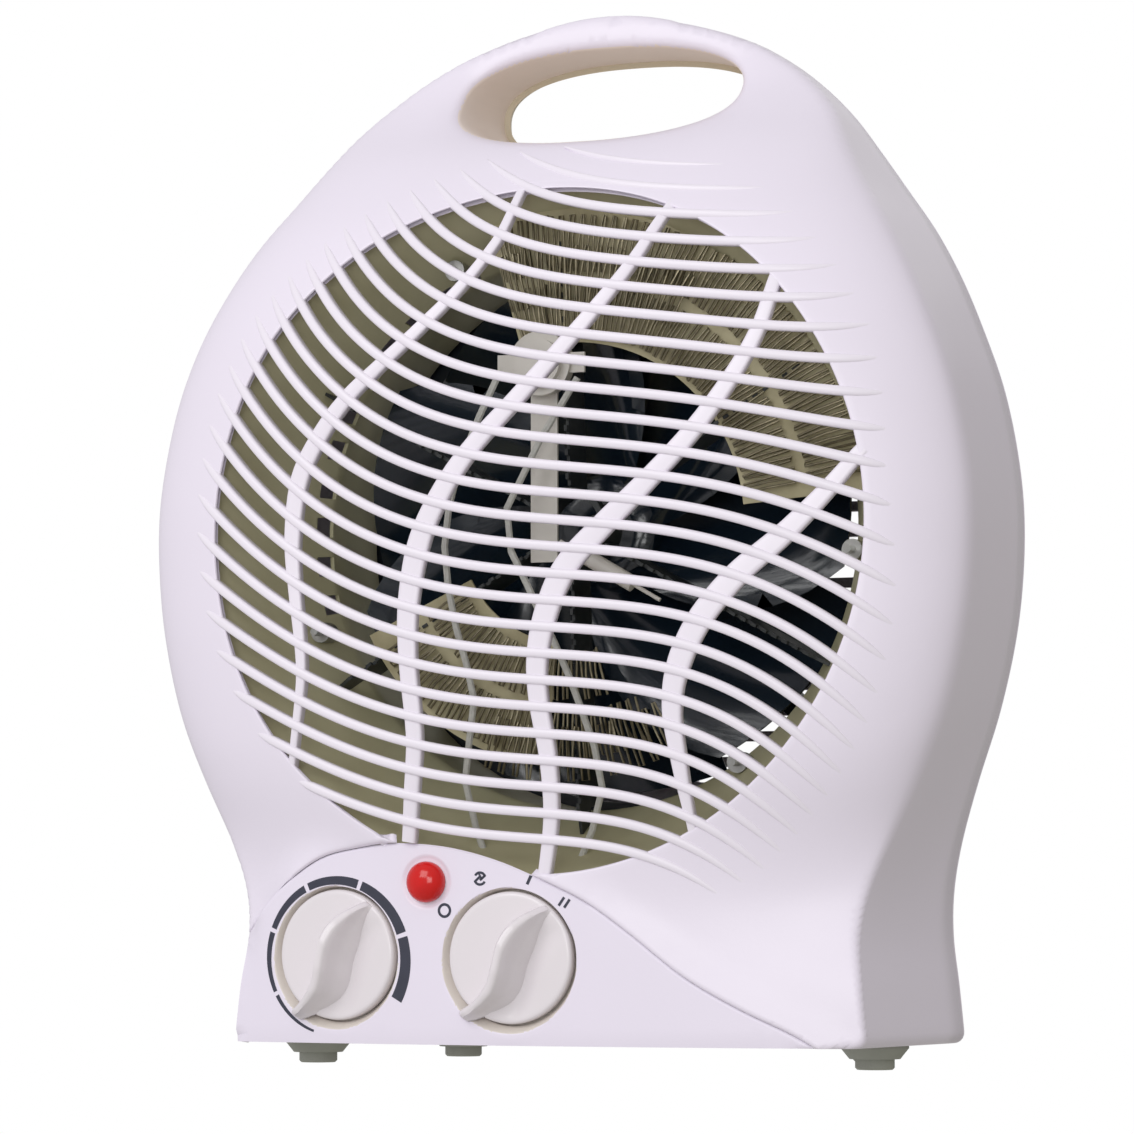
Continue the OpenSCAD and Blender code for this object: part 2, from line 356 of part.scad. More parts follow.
module fan_impeller() {
    color([0.12,0.15,0.18]) translate([0,0,zf]) difference() {
        union() {
            ycyl(15, -6, 14);
            for (i=[0:blades-1]) intersection() {
                rotate([0, i*360/blades, 0]) rotate([blade_pitch, 0, 0]) translate([10, -0.9, -26]) cube([fan_d/2, 1.8, 52]);
                difference() { ycyl(fan_d/2, -8, 16, 0, 0, 96); ycyl(11, -9, 17); }
                rotate([0, i*360/blades, 0]) translate([0, -8, -27]) cube([fan_d/2+5, 24, 54]);
            }
        }
        ycyl(shaft_d/2, -10, 20);
        difference() { ycyl(12.6, 2, 15); ycyl(5, 1, 16); }
    }
}
module impeller_clip() { color("silver") translate([0,0,zf]) difference() { ycyl(4.2, -6.9, -6); ycyl(shaft_d/2, -8, 0); } }
module motor_shaft() { color("silver") translate([0,0,zf]) ycyl(shaft_d/2, -9, 55); }
module motor_rotor() { color([0.6,0.6,0.6]) translate([0,0,zf]) difference() { ycyl(11.6, 31.5, 45.5); ycyl(shaft_d/2, 30, 50); } }
module motor_stator() {
    color([0.5,0.5,0.52]) translate([0,0,zf]) difference() {
        translate([-26, 32, -34]) cube([52, 13, 58]);
        ycyl(12, 30, 50);
        translate([-18, 31, -27]) cube([36, 15, 11]);
        for (s=[-1,1]) { ycyl(1.7, 30, 50, s*20, 16, 32); ycyl(1.7, 30, 50, s*20, -8, 32); }
    }
}
module motor_winding() { color([0.72,0.4,0.2]) translate([0,0,zf]) difference() { rbox(-16, 16, 26.5, 50.5, -39, -16.4, 2); translate([-17, 31.9, -34.1]) cube([34, 13.2, 7.1]); translate([-17, 31.9, -50]) cube([34, 13.2, 11.5]); } }
module motor_bracket_cut() { ycyl(5, 20, 60); for (s=[-1,1]) ycyl(1.5, 20, 60, s*20, 16, 32); for (s=[-1,1]) ycyl(1.5, 20, 60, s*20, -8, 32); }
module front_bracket() { color([0.75,0.75,0.74]) translate([0,0,zf]) difference() {
    union() { translate([-24, 28.5, -12]) cube([48, 1.5, 32]); ycyl(7, 22, 30); for (s=[-1,1]) ycyl(2.6, 23, 29, s*14, 0, 32); for (s=[-1,1], z=[16,-8]) ycyl(3, 29.9, 32, s*20, z, 32); }
    motor_bracket_cut(); for (s=[-1,1]) ycyl(1.1, 22.9, 28, s*14, 0, 32); } }
module rear_bracket() { color([0.75,0.75,0.74]) translate([0,0,zf]) difference() {
    union() { translate([-24, 47, -12]) cube([48, 1.5, 32]); ycyl(7, 46.6, 53); for (s=[-1,1], z=[16,-8]) ycyl(3, 45, 47.1, s*20, z, 32); }
    motor_bracket_cut(); } }
module motor_bearings() { color([0.72,0.55,0.3]) translate([0,0,zf]) for (y=[23, 47.5]) difference() { ycyl(5, y, y+5); ycyl(shaft_d/2+run_fit, y-1, y+6); } }
module motor_screws() { color("silver") translate([0,0,zf]) { for (s=[-1,1], z=[16,-8]) translate([s*20, 50.4, z]) rotate([90,0,0]) screw(2.8, 22, 5.2, 1.85); for (s=[-1,1]) translate([s*14, 17.2, 0]) rotate([-90,0,0]) screw(2.1, 8, 4.6, 1.8); } }

// --- mains entry ---------------------------------------------------------
module terminal_block() { color([0.93,0.92,0.88]) difference() {
    rbox(20, 48, 21, 31, 15.6, 28, 1);
    for (i=[0:1]) { ycyl(1.6, 15, 40, 26+i*16, 21, 24); translate([26+i*16, 26, 22]) cylinder(r=1.8, h=10, $fn=24); }
    translate([34, 26, 10]) cylinder(r=1.7, h=20, $fn=24); translate([34, 26, 23]) cylinder(r=3, h=6, $fn=24); } }
module terminal_screws() { color([0.85,0.7,0.35]) for (i=[0:1]) translate([26+i*16, 26, 27]) rotate([180,0,0]) { difference() { cylinder(r=1.7, h=4.3); translate([-2,-0.3,-0.1]) cube([4,0.6,0.7]); } } }
module cord_inlet() { color([0.75,0.74,0.76]) difference() {
    union() { ycyl(8, 61, 63, -46, 24); ycyl(5.5, 53, 61.1, -46, 24); ycyl(7, 53, 55, -46, 24); }
    ycyl(3.6, 50, 70, -46, 24); } }
module cord_clamp() { color([0.93,0.92,0.88]) difference() {
    rbox(-58, -34, 44, 52, 19.6, 26, 1); ycyl(3, 40, 60, -46, 19.2, 24); for (x=[-54,-38]) translate([x, 48, 10]) cylinder(r=1.6, h=20, $fn=24); } }
module clamp_screws() { color("silver") { for (x=[-54,-38]) translate([x, 48, 28]) rotate([180,0,0]) screw(2.3, 14, 5.4, 1.95); translate([34, 26, 25.2]) rotate([180,0,0]) screw(2.3, 14, 5.4, 1.95); } }

front_shell();
control_panel();
rear_shell();
front_feet();
rear_feet();
foot_screws();
housing_screws();
panel_screws();
thermostat_knob();
switch_knob();
thermostat_spindle();
switch_spindle();
thermostat_body();
thermostat_bimetal();
switch_body();
switch_tabs();
control_screws();
lamp_lens();
neon_lamp();
element_duct();
mica_formers();
mica_backs();
upper_coil();
lower_coil();
element_terminals();
thermal_cutout();
thermal_fuse();
element_leads();
motor_mount();
mount_screws();
fan_impeller();
impeller_clip();
motor_shaft();
motor_rotor();
motor_stator();
motor_winding();
front_bracket();
rear_bracket();
motor_bearings();
motor_screws();
terminal_block();
terminal_screws();
cord_inlet();
cord_clamp();
clamp_screws();
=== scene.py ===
import bpy, bmesh, math
import numpy as np
from mathutils import Vector, Matrix
from mathutils.geometry import delaunay_2d_cdt

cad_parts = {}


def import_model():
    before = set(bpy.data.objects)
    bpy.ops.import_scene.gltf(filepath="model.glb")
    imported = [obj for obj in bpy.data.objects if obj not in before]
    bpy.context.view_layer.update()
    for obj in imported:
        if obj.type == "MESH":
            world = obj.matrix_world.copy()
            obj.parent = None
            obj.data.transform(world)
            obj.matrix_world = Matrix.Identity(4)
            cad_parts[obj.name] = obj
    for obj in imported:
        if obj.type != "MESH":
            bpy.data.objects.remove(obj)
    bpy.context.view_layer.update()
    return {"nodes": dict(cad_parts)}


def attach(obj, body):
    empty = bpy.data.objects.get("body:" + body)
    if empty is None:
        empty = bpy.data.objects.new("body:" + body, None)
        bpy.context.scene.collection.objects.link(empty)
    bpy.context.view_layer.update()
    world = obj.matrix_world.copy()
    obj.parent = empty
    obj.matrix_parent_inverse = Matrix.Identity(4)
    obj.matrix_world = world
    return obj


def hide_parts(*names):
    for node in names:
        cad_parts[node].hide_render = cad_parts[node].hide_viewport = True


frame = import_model()
sc = bpy.context.scene
K = 0.001

# ------------------------------------------------------------------ form of the housing, millimetres
T = np.array([(6,82,91,-45,8),(20,80.6,89.6,-44.6,8.4),(32,79.5,88.2,-42.5,10.3),(43,81.2,88.4,-40,13),(55,86,90.5,-38,16.5),
 (70,93.2,94.8,-37.4,20),(87,100,100.4,-37.3,22),(105,104.3,104.6,-37.3,23),(121,106.2,106.5,-37.3,23),(137,106.4,106.7,-37.3,23),
 (152,104.4,105,-37.2,22.5),(167,100.8,101.7,-36.8,22),(181,95.6,96.8,-35.5,21.5),(194,89.4,91.4,-32.5,20),(206,82.4,85,-28.5,18.5),
 (217,75,77.5,-23,15.6),(227,69,70.5,-17,11.8),(236,63.5,63.8,-10.5,6.8),(244,56,56,-5.5,3.4),(251,46.8,47,-2.5,2),
 (257,35,36,-1,1.2),(262,19,20,0,0.5),(265,0,0,0.5,0)], float)
TZ = T[:, 0]
SEAM, ZO, RO, ZF = 6.0, 131.0, 84.0, 133.0
GX, GZ, GA, GB = 0.6, 242.8, 37.5, 13.6
PR, PY = 425.0, -53.0
KNOB_A, KNOB_B, LAMP = (-51.9, 27.6), (-5.1, 27.1), (-27.3, 45.3)

def _slopes(c):
    y = T[:, c]; m = np.empty(len(T))
    m[0] = (y[1]-y[0])/(TZ[1]-TZ[0]); m[-1] = (y[-1]-y[-2])/(TZ[-1]-TZ[-2])
    m[1:-1] = (y[2:]-y[:-2])/(TZ[2:]-TZ[:-2])
    return m
SL = {c: _slopes(c) for c in (1, 2, 3, 4)}
def col(z, c):
    z = np.clip(np.asarray(z, float), TZ[0], TZ[-1])
    i = np.clip(np.searchsorted(TZ, z, side="right")-1, 0, len(T)-2)
    h = TZ[i+1]-TZ[i]; t = (z-TZ[i])/h; y = T[:, c]; m = SL[c]
    return (2*t**3-3*t*t+1)*y[i]+(t**3-2*t*t+t)*h*m[i]+(3*t*t-2*t**3)*y[i+1]+(t**3-t*t)*h*m[i+1]
def ease(t):
    t = np.clip(t, 0, 1); return t*t*(3-2*t)
def face0(x, z):
    x = np.asarray(x, float); z = np.asarray(z, float)
    k = ease((z-30)/50); w = np.maximum(col(z, 1), 1.0); t = np.minimum(np.abs(x)/w, 1)
    return col(z, 3)-col(z, 4)*np.maximum(1-t**(2+1.2*k), 0)**(1-0.4*k)
def backw(z): return 0.80+0.14*ease((np.asarray(z, float)-195)/60)
def backy(z): return 52-24*ease((np.asarray(z, float)-196)/42)
def back0(x, z):
    w = np.maximum(col(z, 2)*backw(z), 1.0); t = np.minimum(np.abs(x)/w, 1)
    return backy(z)+(1.5+7.7*ease((236-np.asarray(z, float))/44))*np.maximum(1-t**4, 0)**0.8

# outline, finely sampled; index-matched for the front edge (1) and the seam (2)
def outline(c, rear=False, r=3.0):
    zs = np.concatenate([6+r-r*np.cos(np.linspace(0, math.pi/2, 6)), np.arange(11, 240, 2.2)])
    tops = np.array([241,243,245,247,249,251,252.8,254.5,256,257.4,258.7,259.9,261,262,262.8,263.5,264.1,264.55,264.85])
    zs = np.concatenate([zs, tops])
    w = col(zs, c)
    # round the head of the outline so that it closes without a point
    w = np.where(zs > 262, 19.6*np.sqrt(np.maximum((265-zs)/3.0, 0))*(1 if c == 1 else 1.0), w)
    low = zs < 6+r
    w = np.where(low, w-(r-np.sqrt(np.maximum(r*r-(6+r-zs)**2, 0))), w)
    if rear:
        w = w*backw(zs)
    right = np.stack([w, zs], 1); left = np.stack([-w[::-1], zs[::-1]], 1)
    wb = w[0]; nb = 60
    xb = -wb+2*wb*np.arange(1, nb)/nb
    return np.concatenate([right, [[0, 265.0]], left, np.stack([xb, np.full(nb-1, 6.0)], 1)])
CZ = 120.0
def polar_R(loop):
    v = loop-np.array([0, CZ]); a = np.arctan2(v[:, 1], v[:, 0]); r = np.hypot(v[:, 0], v[:, 1]); o = np.argsort(a)
    a, r = a[o], r[o]; a = np.concatenate([a[-1:]-2*math.pi, a, a[:1]+2*math.pi]); r = np.concatenate([r[-1:], r, r[:1]])
    return lambda x, z: np.interp(np.arctan2(z-CZ, x), a, r)
OUT1, OUT2, OUTR = outline(1), outline(2), outline(2, rear=True)
R1, RR = polar_R(OUT1), polar_R(OUTR)
def edge_in(x, z, RF):
    R = RF(x, z); return np.maximum(R-np.hypot(x, z-CZ), 0)
def roll(d, r):
    d = np.clip(d, 0, r); return r-np.sqrt(np.maximum(r*r-(r-d)**2, 0))
GN = 2.35
def grip_d(x, z):
    u = (x-GX)/GA; v = (z-GZ)/GB; e = (np.abs(u)**GN+np.abs(v)**GN)**(1/GN)+1e-9
    g = np.sqrt((np.abs(u)**(GN-1)/GA)**2+(np.abs(v)**(GN-1)/GB)**2)/e**(GN-1)+1e-9
    return (e-1)/g
def face(x, z):
    d = np.maximum(grip_d(x, z), 0)
    return face0(x, z)+roll(edge_in(x, z, R1), 1.6)+2.0*np.clip(1-d/9, 0, 1)**2+roll(d, 2.2)+roll(np.maximum(np.hypot(x, z-ZO)-RO, 0), 0.7)
def face_s(x, z):   # the plain surface that slats and ribs follow
    return face0(x, z)
def back(x, z):
    d = np.maximum(grip_d(x, z), 0)
    return back0(x, z)-roll(edge_in(x, z, RR), 6.0)-roll(d, 2.0)
def bow(x): return PY+PR-np.sqrt(PR*PR-np.asarray(x, float)**2)
PAN = np.array([(-82.5,5),(71,5),(70,6),(64,9.5),(51.6,15.3),(38.5,22.7),(25.2,32.9),(15,40),(5.3,44.8),(-8,50.3),(-21.4,53.7),(-35,54.8),(-45,53.8),(-56.6,51.2),(-67.4,44.4),(-74.5,37.5),(-80.2,31.2)], float)

# ------------------------------------------------------------------ mesh helpers
def obj(name, verts, faces, mat, body="housing", smooth=True, angle=35.0, reps=(), slot=None):
    me = bpy.data.meshes.new(name)
    me.from_pydata([tuple(float(c)*K for c in v) for v in verts], [], [tuple(int(i) for i in f) for f in faces])
    me.validate(); me.update()
    o = bpy.data.objects.new(name, me); sc.collection.objects.link(o)
    if mat is not None: me.materials.append(mat)
    if smooth: shade(o, angle)
    o["_b"] = body
    if reps: o["_r"] = list(reps)
    if slot: o["_s"] = slot
    return o
def shade(o, angle=35.0):
    me = o.data
    me.polygons.foreach_set("use_smooth", [True]*len(me.polygons))
    bm = bmesh.new(); bm.from_mesh(me); lim = math.radians(angle)
    for e in bm.edges:
        if len(e.link_faces) == 2:
            e.smooth = e.calc_face_angle(0) < lim
        else:
            e.smooth = False
    bm.to_mesh(me); bm.free(); me.update()
def weld(o, d=0.02, flip=None):
    bm = bmesh.new(); bm.from_mesh(o.data)
    bmesh.ops.remove_doubles(bm, verts=bm.verts, dist=d*K)
    bmesh.ops.dissolve_degenerate(bm, edges=bm.edges, dist=0.002*K)
    bmesh.ops.recalc_face_normals(bm, faces=bm.faces)
    bm.to_mesh(o.data); bm.free(); o.data.update()
def apply_mods(o):
    dg = bpy.context.evaluated_depsgraph_get(); dg.update()
    me = bpy.data.meshes.new_from_object(o.evaluated_get(dg)); old = o.data
    o.modifiers.clear(); o.data = me; me.name = o.name
    bpy.data.meshes.remove(old)
def solidify(o, t, offset=-1.0, even=False):
    m = o.modifiers.new("s", "SOLIDIFY"); m.thickness = t*K; m.offset = offset; m.use_even_offset = even; m.use_rim = True
    apply_mods(o)
def orient(o, ref, out=True):
    """Point the skin's normals away from ref (or towards it)."""
    bm = bmesh.new(); bm.from_mesh(o.data); s = 0.0
    for f in bm.faces:
        c = f.calc_center_median(); s += f.calc_area()*(c-Vector(ref)*K).normalized().dot(f.normal)
    if (s > 0) != out:
        bmesh.ops.reverse_faces(bm, faces=bm.faces)
    bm.to_mesh(o.data); bm.free(); o.data.update()
def inpoly(P, poly):
    x, z = P[:, 0], P[:, 1]; r = np.zeros(len(P), bool); n = len(poly); j = n-1
    for i in range(n):
        xi, zi = poly[i]; xj, zj = poly[j]
        c = ((zi > z) != (zj > z)) & (x < (xj-xi)*(z-zi)/(zj-zi+1e-12)+xi)
        r ^= c; j = i
    return r
def dens(loop, h, closed=True):
    out = []; n = len(loop)
    for i in range(n if closed else n-1):
        a, b = loop[i], loop[(i+1) % n]; m = max(1, int(math.ceil(np.hypot(*(b-a))/h)))
        for k in range(m): out.append(a+(b-a)*k/m)
    if not closed: out.append(loop[-1])
    return np.array(out)
def plate(loops, paths, keep, extra, h):
    """Triangulated 2-D domain: constraint loops and open paths, filtered by keep(points)."""
    V, E, base = [], [], 0
    for lp in loops:
        n = len(lp); V.append(lp); E += [(base+i, base+(i+1) % n) for i in range(n)]; base += n
    for pt in paths:
        n = len(pt); V.append(pt); E += [(base+i, base+i+1) for i in range(n-1)]; base += n
    C = np.concatenate(V)
    lo, hi = C.min(0), C.max(0); g = []
    nz = int((hi[1]-lo[1])/(h*0.866))+1
    for r in range(nz):
        zz = lo[1]+r*h*0.866; xs = np.arange(lo[0]+(h/2 if r % 2 else 0), hi[0], h); g.append(np.stack([xs, np.full(len(xs), zz)], 1))
    g = np.concatenate(g+[e for e in extra])
    # drop grid points that crowd a constraint, extra points always stay
    ng = len(g)-sum(len(e) for e in extra); ok = np.ones(len(g), bool)
    ref = np.concatenate([C]+[e for e in extra])
    for s in range(0, ng, 400):
        q = g[s:min(s+400, ng)]; d = np.sqrt(((q[:, None, :]-ref[None, :, :])**2).sum(2)).min(1); ok[s:s+len(q)] = d > 0.55*h
    g = g[ok & keep(g)]
    P = np.concatenate([C, g])
    vs, _, fs, *_ = delaunay_2d_cdt([Vector((float(a), float(b))) for a, b in P], E, [], 0, 1e-4, False)
    vs = np.array([(v.x, v.y) for v in vs]); fs = np.array([f for f in fs if len(f) == 3])
    cen = vs[fs].mean(1); fs = fs[keep(cen)]
    used = np.unique(fs); remap = -np.ones(len(vs), int); remap[used] = np.arange(len(used))
    return vs[used], remap[fs]
def grid_faces(n, m, closed=True, off=0):
    f = []
    for i in range(m-1):
        for k in range(n if closed else n-1):
            k2 = (k+1) % n; f.append((off+i*n+k, off+i*n+k2, off+(i+1)*n+k2, off+(i+1)*n+k))
    return f
def join(parts, name):
    V, F, o = [], [], 0
    for v, f in parts:
        V.append(np.asarray(v, float).reshape(-1, 3)); F += [tuple(i+o for i in q) for q in f]; o += len(V[-1])
    return np.concatenate(V), F
def tube(P, r, n=8, cap=True, scale=None):
    P = np.asarray(P, float); m = len(P); t = np.gradient(P, axis=0); t /= np.linalg.norm(t, axis=1)[:, None]+1e-12
    up = np.array([0, 0, 1.0]) if abs(t[0][2]) < 0.9 else np.array([1.0, 0, 0]); V = []
    a = np.cross(t[0], up); a /= np.linalg.norm(a)
    for i in range(m):
        a = a-t[i]*a.dot(t[i]); a /= np.linalg.norm(a); b = np.cross(t[i], a); rr = r*(scale[i] if scale is not None else 1)
        for k in range(n):
            u = 2*math.pi*k/n; V.append(P[i]+rr*(math.cos(u)*a+math.sin(u)*b))
    F = grid_faces(n, m)
    if cap: F += [tuple(range(n))[::-1], tuple(range((m-1)*n, m*n))]
    return np.array(V), F
def lathe(prof, n=96, axis="y", c=(0, 0), closed=False):
    """prof: (radius, y) pairs turned about an axis along Y through x, z = c."""
    V = []
    for r, y in prof:
        for k in range(n):
            a = 2*math.pi*k/n; V.append((c[0]+r*math.cos(a), y, c[1]+r*math.sin(a)))
    F = grid_faces(n, len(prof)); 
    if closed: F += [(len(prof)*n-n+k, len(prof)*n-n+(k+1) % n, (k+1) % n, k) for k in range(n)]
    else: F += [tuple(range(n)), tuple(range((len(prof)-1)*n, len(prof)*n))[::-1]]
    return np.array(V), F
def cr(P, u):
    P = np.asarray(P, float); n = len(P); i = int(min(max(math.floor(u), 0), n-2)); t = u-i
    a, b, c, d = P[max(i-1, 0)], P[i], P[i+1], P[min(i+2, n-1)]
    return 0.5*(2*b+(c-a)*t+(2*a-5*b+4*c-d)*t*t+(3*b-a-3*c+d)*t**3)
def on_panel(p, V):
    V = np.asarray(V, float); a = math.asin(p[0]/PR); c, s = math.cos(a), math.sin(a)
    x, y, z = V[:, 0], V[:, 1]-PR, V[:, 2]
    return np.stack([x*c-y*s, PY+PR+x*s+y*c, z+p[1]], 1)

# ------------------------------------------------------------------ materials
def mat(name, color, rough=0.45, metal=0.0, coat=0.0, bump=(0.0, 300.0), var=(0.0, 40.0), rvar=0.0, spec=0.5, sss=0.0, dark=None, wear=0.0, ior=None, trans=0.0, emis=0.0, alpha=1.0, aniso=0.0):
    m = bpy.data.materials.new(name); m.use_nodes = True; nt = m.node_tree; N = nt.nodes; L = nt.links
    p = N["Principled BSDF"]; tc = N.new("ShaderNodeTexCoord")
    lin = tuple(((c/255)/12.92 if c/255 <= 0.04045 else ((c/255+0.055)/1.055)**2.4) for c in color)
    p.inputs["Base Color"].default_value = (*lin, 1); p.inputs["Roughness"].default_value = rough; p.inputs["Metallic"].default_value = metal
    p.inputs["Specular IOR Level"].default_value = spec; p.inputs["Coat Weight"].default_value = coat; p.inputs["Coat Roughness"].default_value = 0.12
    if sss: 
        p.inputs["Subsurface Weight"].default_value = sss; p.inputs["Subsurface Radius"].default_value = (0.003, 0.0025, 0.002); p.inputs["Subsurface Scale"].default_value = 1.0
    if ior: p.inputs["IOR"].default_value = ior
    if trans: p.inputs["Transmission Weight"].default_value = trans
    if emis:
        p.inputs["Emission Color"].default_value = (*lin, 1); p.inputs["Emission Strength"].default_value = emis
    if var[0]:
        n = N.new("ShaderNodeTexNoise"); n.inputs["Scale"].default_value = var[1]; n.inputs["Detail"].default_value = 4
        r = N.new("ShaderNodeValToRGB"); r.color_ramp.elements[0].position = 0.3; r.color_ramp.elements[1].position = 0.7
        d = dark if dark else tuple(c*(1-var[0]) for c in lin)
        if dark: d = tuple(((c/255)/12.92 if c/255 <= 0.04045 else ((c/255+0.055)/1.055)**2.4) for c in dark)
        r.color_ramp.elements[0].color = (*d, 1); r.color_ramp.elements[1].color = (*lin, 1)
        L.new(tc.outputs["Object"], n.inputs["Vector"]); L.new(n.outputs["Fac"], r.inputs["Fac"]); L.new(r.outputs["Color"], p.inputs["Base Color"])
    if rvar:
        n2 = N.new("ShaderNodeTexNoise"); n2.inputs["Scale"].default_value = 55; n2.inputs["Detail"].default_value = 3
        mr = N.new("ShaderNodeMapRange"); mr.inputs["To Min"].default_value = rough-rvar; mr.inputs["To Max"].default_value = rough+rvar
        L.new(tc.outputs["Object"], n2.inputs["Vector"]); L.new(n2.outputs["Fac"], mr.inputs["Value"]); L.new(mr.outputs["Result"], p.inputs["Roughness"])
    if bump[0]:
        n3 = N.new("ShaderNodeTexNoise"); n3.inputs["Scale"].default_value = bump[1]; n3.inputs["Detail"].default_value = 3
        b = N.new("ShaderNodeBump"); b.inputs["Strength"].default_value = bump[0]; b.inputs["Distance"].default_value = 0.0002
        L.new(tc.outputs["Object"], n3.inputs["Vector"]); L.new(n3.outputs["Fac"], b.inputs["Height"]); L.new(b.outputs["Normal"], p.inputs["Normal"])
    return m
M = dict(
 shell=mat("shell_plastic", (232,225,238), 0.36, bump=(0.10, 900), var=(0.02, 18), rvar=0.05, sss=0.0),
 grille=mat("grille_plastic", (234,228,238), 0.34, bump=(0.08, 900), var=(0.02, 30), rvar=0.05),
 rear=mat("rear_plastic", (230,224,234), 0.40, bump=(0.16, 700), var=(0.03, 18), rvar=0.05),
 panel=mat("panel_plastic", (231,224,238), 0.34, bump=(0.07, 1000), var=(0.015, 25), rvar=0.04),
 # grip: warm beige copy of the shell plastic, painted shade for the shaded inner wall of the handle hole
 grip=mat("grip_inside_painted_shade", (240,228,220), 0.5, bump=(0.08, 900), var=(0.03, 40), rvar=0.04),
 # lip: darker olive-beige copy of the shell plastic, painted shade for the deep rear part of the handle hole wall
 lip=mat("grip_rear_painted_shade", (206,196,172), 0.5, bump=(0.08, 900), var=(0.03, 40), rvar=0.04),
 # well: darker, warmer copy of the panel plastic, painted shade for the shaded bevel round each knob
 well=mat("well_painted_shade", (222,214,206), 0.42, bump=(0.05, 900), var=(0.03, 40), rvar=0.04),
 knob=mat("knob_plastic", (226,220,224), 0.30, bump=(0.04, 900), var=(0.015, 60), rvar=0.04, coat=0.1),
 foot=mat("foot_rubber", (158,160,150), 0.7, bump=(0.35, 600), var=(0.12, 120), rvar=0.06),
 lens=mat("lens_red", (214,14,10), 0.16, coat=0.25, var=(0.25, 130), bump=(0.03, 500), spec=0.35),
 glow=mat("neon_glass", (240,190,160), 0.12, trans=0.6, var=(0.05, 200)),
 ink=mat("printed_ink", (52,54,70), 0.55, bump=(0.2, 2000), var=(0.15, 300)),
 duct=mat("duct_olive", (214,210,174), 0.5, bump=(0.12, 260), var=(0.12, 45), rvar=0.08, dark=(198,193,156)),
 mica=mat("mica_sheet", (206,198,162), 0.5, bump=(0.5, 220), var=(0.25, 90), rvar=0.1, dark=(172,162,126)),
 arm=mat("mica_arm", (62,66,66), 0.4, bump=(0.4, 220), var=(0.25, 90), rvar=0.1, dark=(38,42,44)),
 wire=mat("resistance_wire", (150,142,118), 0.38, metal=0.85, bump=(0.2, 1500), var=(0.4, 400), rvar=0.1),
 steel=mat("zinc_steel", (186,186,184), 0.32, metal=0.9, bump=(0.15, 800), var=(0.12, 250), rvar=0.08),
 brass=mat("brass", (205,170,100), 0.3, metal=0.95, bump=(0.1, 800), var=(0.15, 250), rvar=0.08),
 dark=mat("dark_plastic", (30,38,46), 0.34, bump=(0.12, 500), var=(0.15, 60), rvar=0.07, coat=0.15),
 fan=mat("impeller_plastic", (26,38,50), 0.16, bump=(0.05, 400), var=(0.2, 60), rvar=0.05, coat=0.5),
 ceramic=mat("steatite", (226,222,214), 0.4, bump=(0.15, 700), var=(0.06, 150), rvar=0.07),
 copper=mat("enamelled_copper", (150,78,40), 0.3, metal=0.7, bump=(0.6, 900), var=(0.3, 500), rvar=0.08),
 lam=mat("laminated_iron", (120,120,124), 0.45, metal=0.8, bump=(0.5, 700), var=(0.25, 500), rvar=0.08),
 bakelite=mat("bakelite", (76,50,36), 0.38, bump=(0.12, 400), var=(0.25, 90), rvar=0.07),
 sleeve=mat("woven_sleeve", (214,214,208), 0.8, bump=(0.7, 2500), var=(0.15, 900)),
)
PIECES = []
def put(o):
    PIECES.append(o); return o

# ------------------------------------------------------------------ front shell
def circ(r, n, c=(0, 0)):
    a = np.arange(n)*2*math.pi/n; return np.stack([c[0]+r*np.cos(a), c[1]+r*np.sin(a)], 1)
def ell(d, n):
    a = np.arange(n)*2*math.pi/n; c, s_ = np.cos(a), np.sin(a); q = 2/GN
    return np.stack([GX+(GA+d)*np.sign(c)*np.abs(c)**q, GZ+(GB+d)*np.sign(s_)*np.abs(s_)**q], 1)
def inset(loop, d):
    v = loop-np.array([0, CZ]); r = np.hypot(v[:, 0], v[:, 1]); return np.array([0, CZ])+v*(1-d/r)[:, None]
PARC = PAN[2:]          # open path of the seam arc, from the lower right up and over to the left edge
arc = dens(np.array([cr(PARC, u) for u in np.linspace(0, len(PARC)-1, 90)]), 1.6, closed=False)
arc = np.concatenate([[[72.5, 4.2]], arc, [[-84.5, 26.0]]])
PANPOLY = np.concatenate([[[-90, 3], [72.5, 3]], arc, [[-90, 20]]])
def in_panel(P): return inpoly(P, PANPOLY)
hole, gl = circ(RO, 200, (0, ZO)), ell(0, 120)
def keep_front(P):
    return inpoly(P, OUT1) & (np.hypot(P[:, 0], P[:, 1]-ZO) > RO-1e-3) & (grip_d(P[:, 0], P[:, 1]) > -1e-3) & ~in_panel(P)
def arc_off(d):
    t = np.gradient(arc, axis=0); t /= np.linalg.norm(t, axis=1)[:, None]; return arc+np.stack([t[:, 1], -t[:, 0]], 1)*d
extra = [inset(OUT1, d)[::1] for d in (0.12, 0.45, 1.0, 1.7, 2.8, 4.4, 6.8)]+[ell(d, 120) for d in (0.1, 0.4, 0.95, 1.6, 2.3, 3.4, 4.8)]+[circ(RO+d, 200, (0, ZO)) for d in (0.15, 0.4, 0.75, 2.0)]
extra += [arc_off(d) for d in (0.25, 0.7, 1.4)]
def arc_d(x, z):
    P = np.stack([np.ravel(x), np.ravel(z)], 1); out = np.full(len(P), 99.0)
    near = P[:, 1] < 62
    if near.any():
        q = P[near]; a, b = arc[:-1], arc[1:]; ab = b-a; L2 = (ab**2).sum(1)
        t = np.clip(((q[:, None, :]-a[None])*ab[None]).sum(2)/L2[None], 0, 1)
        out[near] = np.sqrt(((q[:, None, :]-(a[None]+ab[None]*t[..., None]))**2).sum(2)).min(1)
    return out.reshape(np.shape(x))
v2, f2 = plate([OUT1, hole, gl], [arc], keep_front, extra, 3.2)
d_arc = arc_d(v2[:, 0], v2[:, 1])
yf = face(v2[:, 0], v2[:, 1])
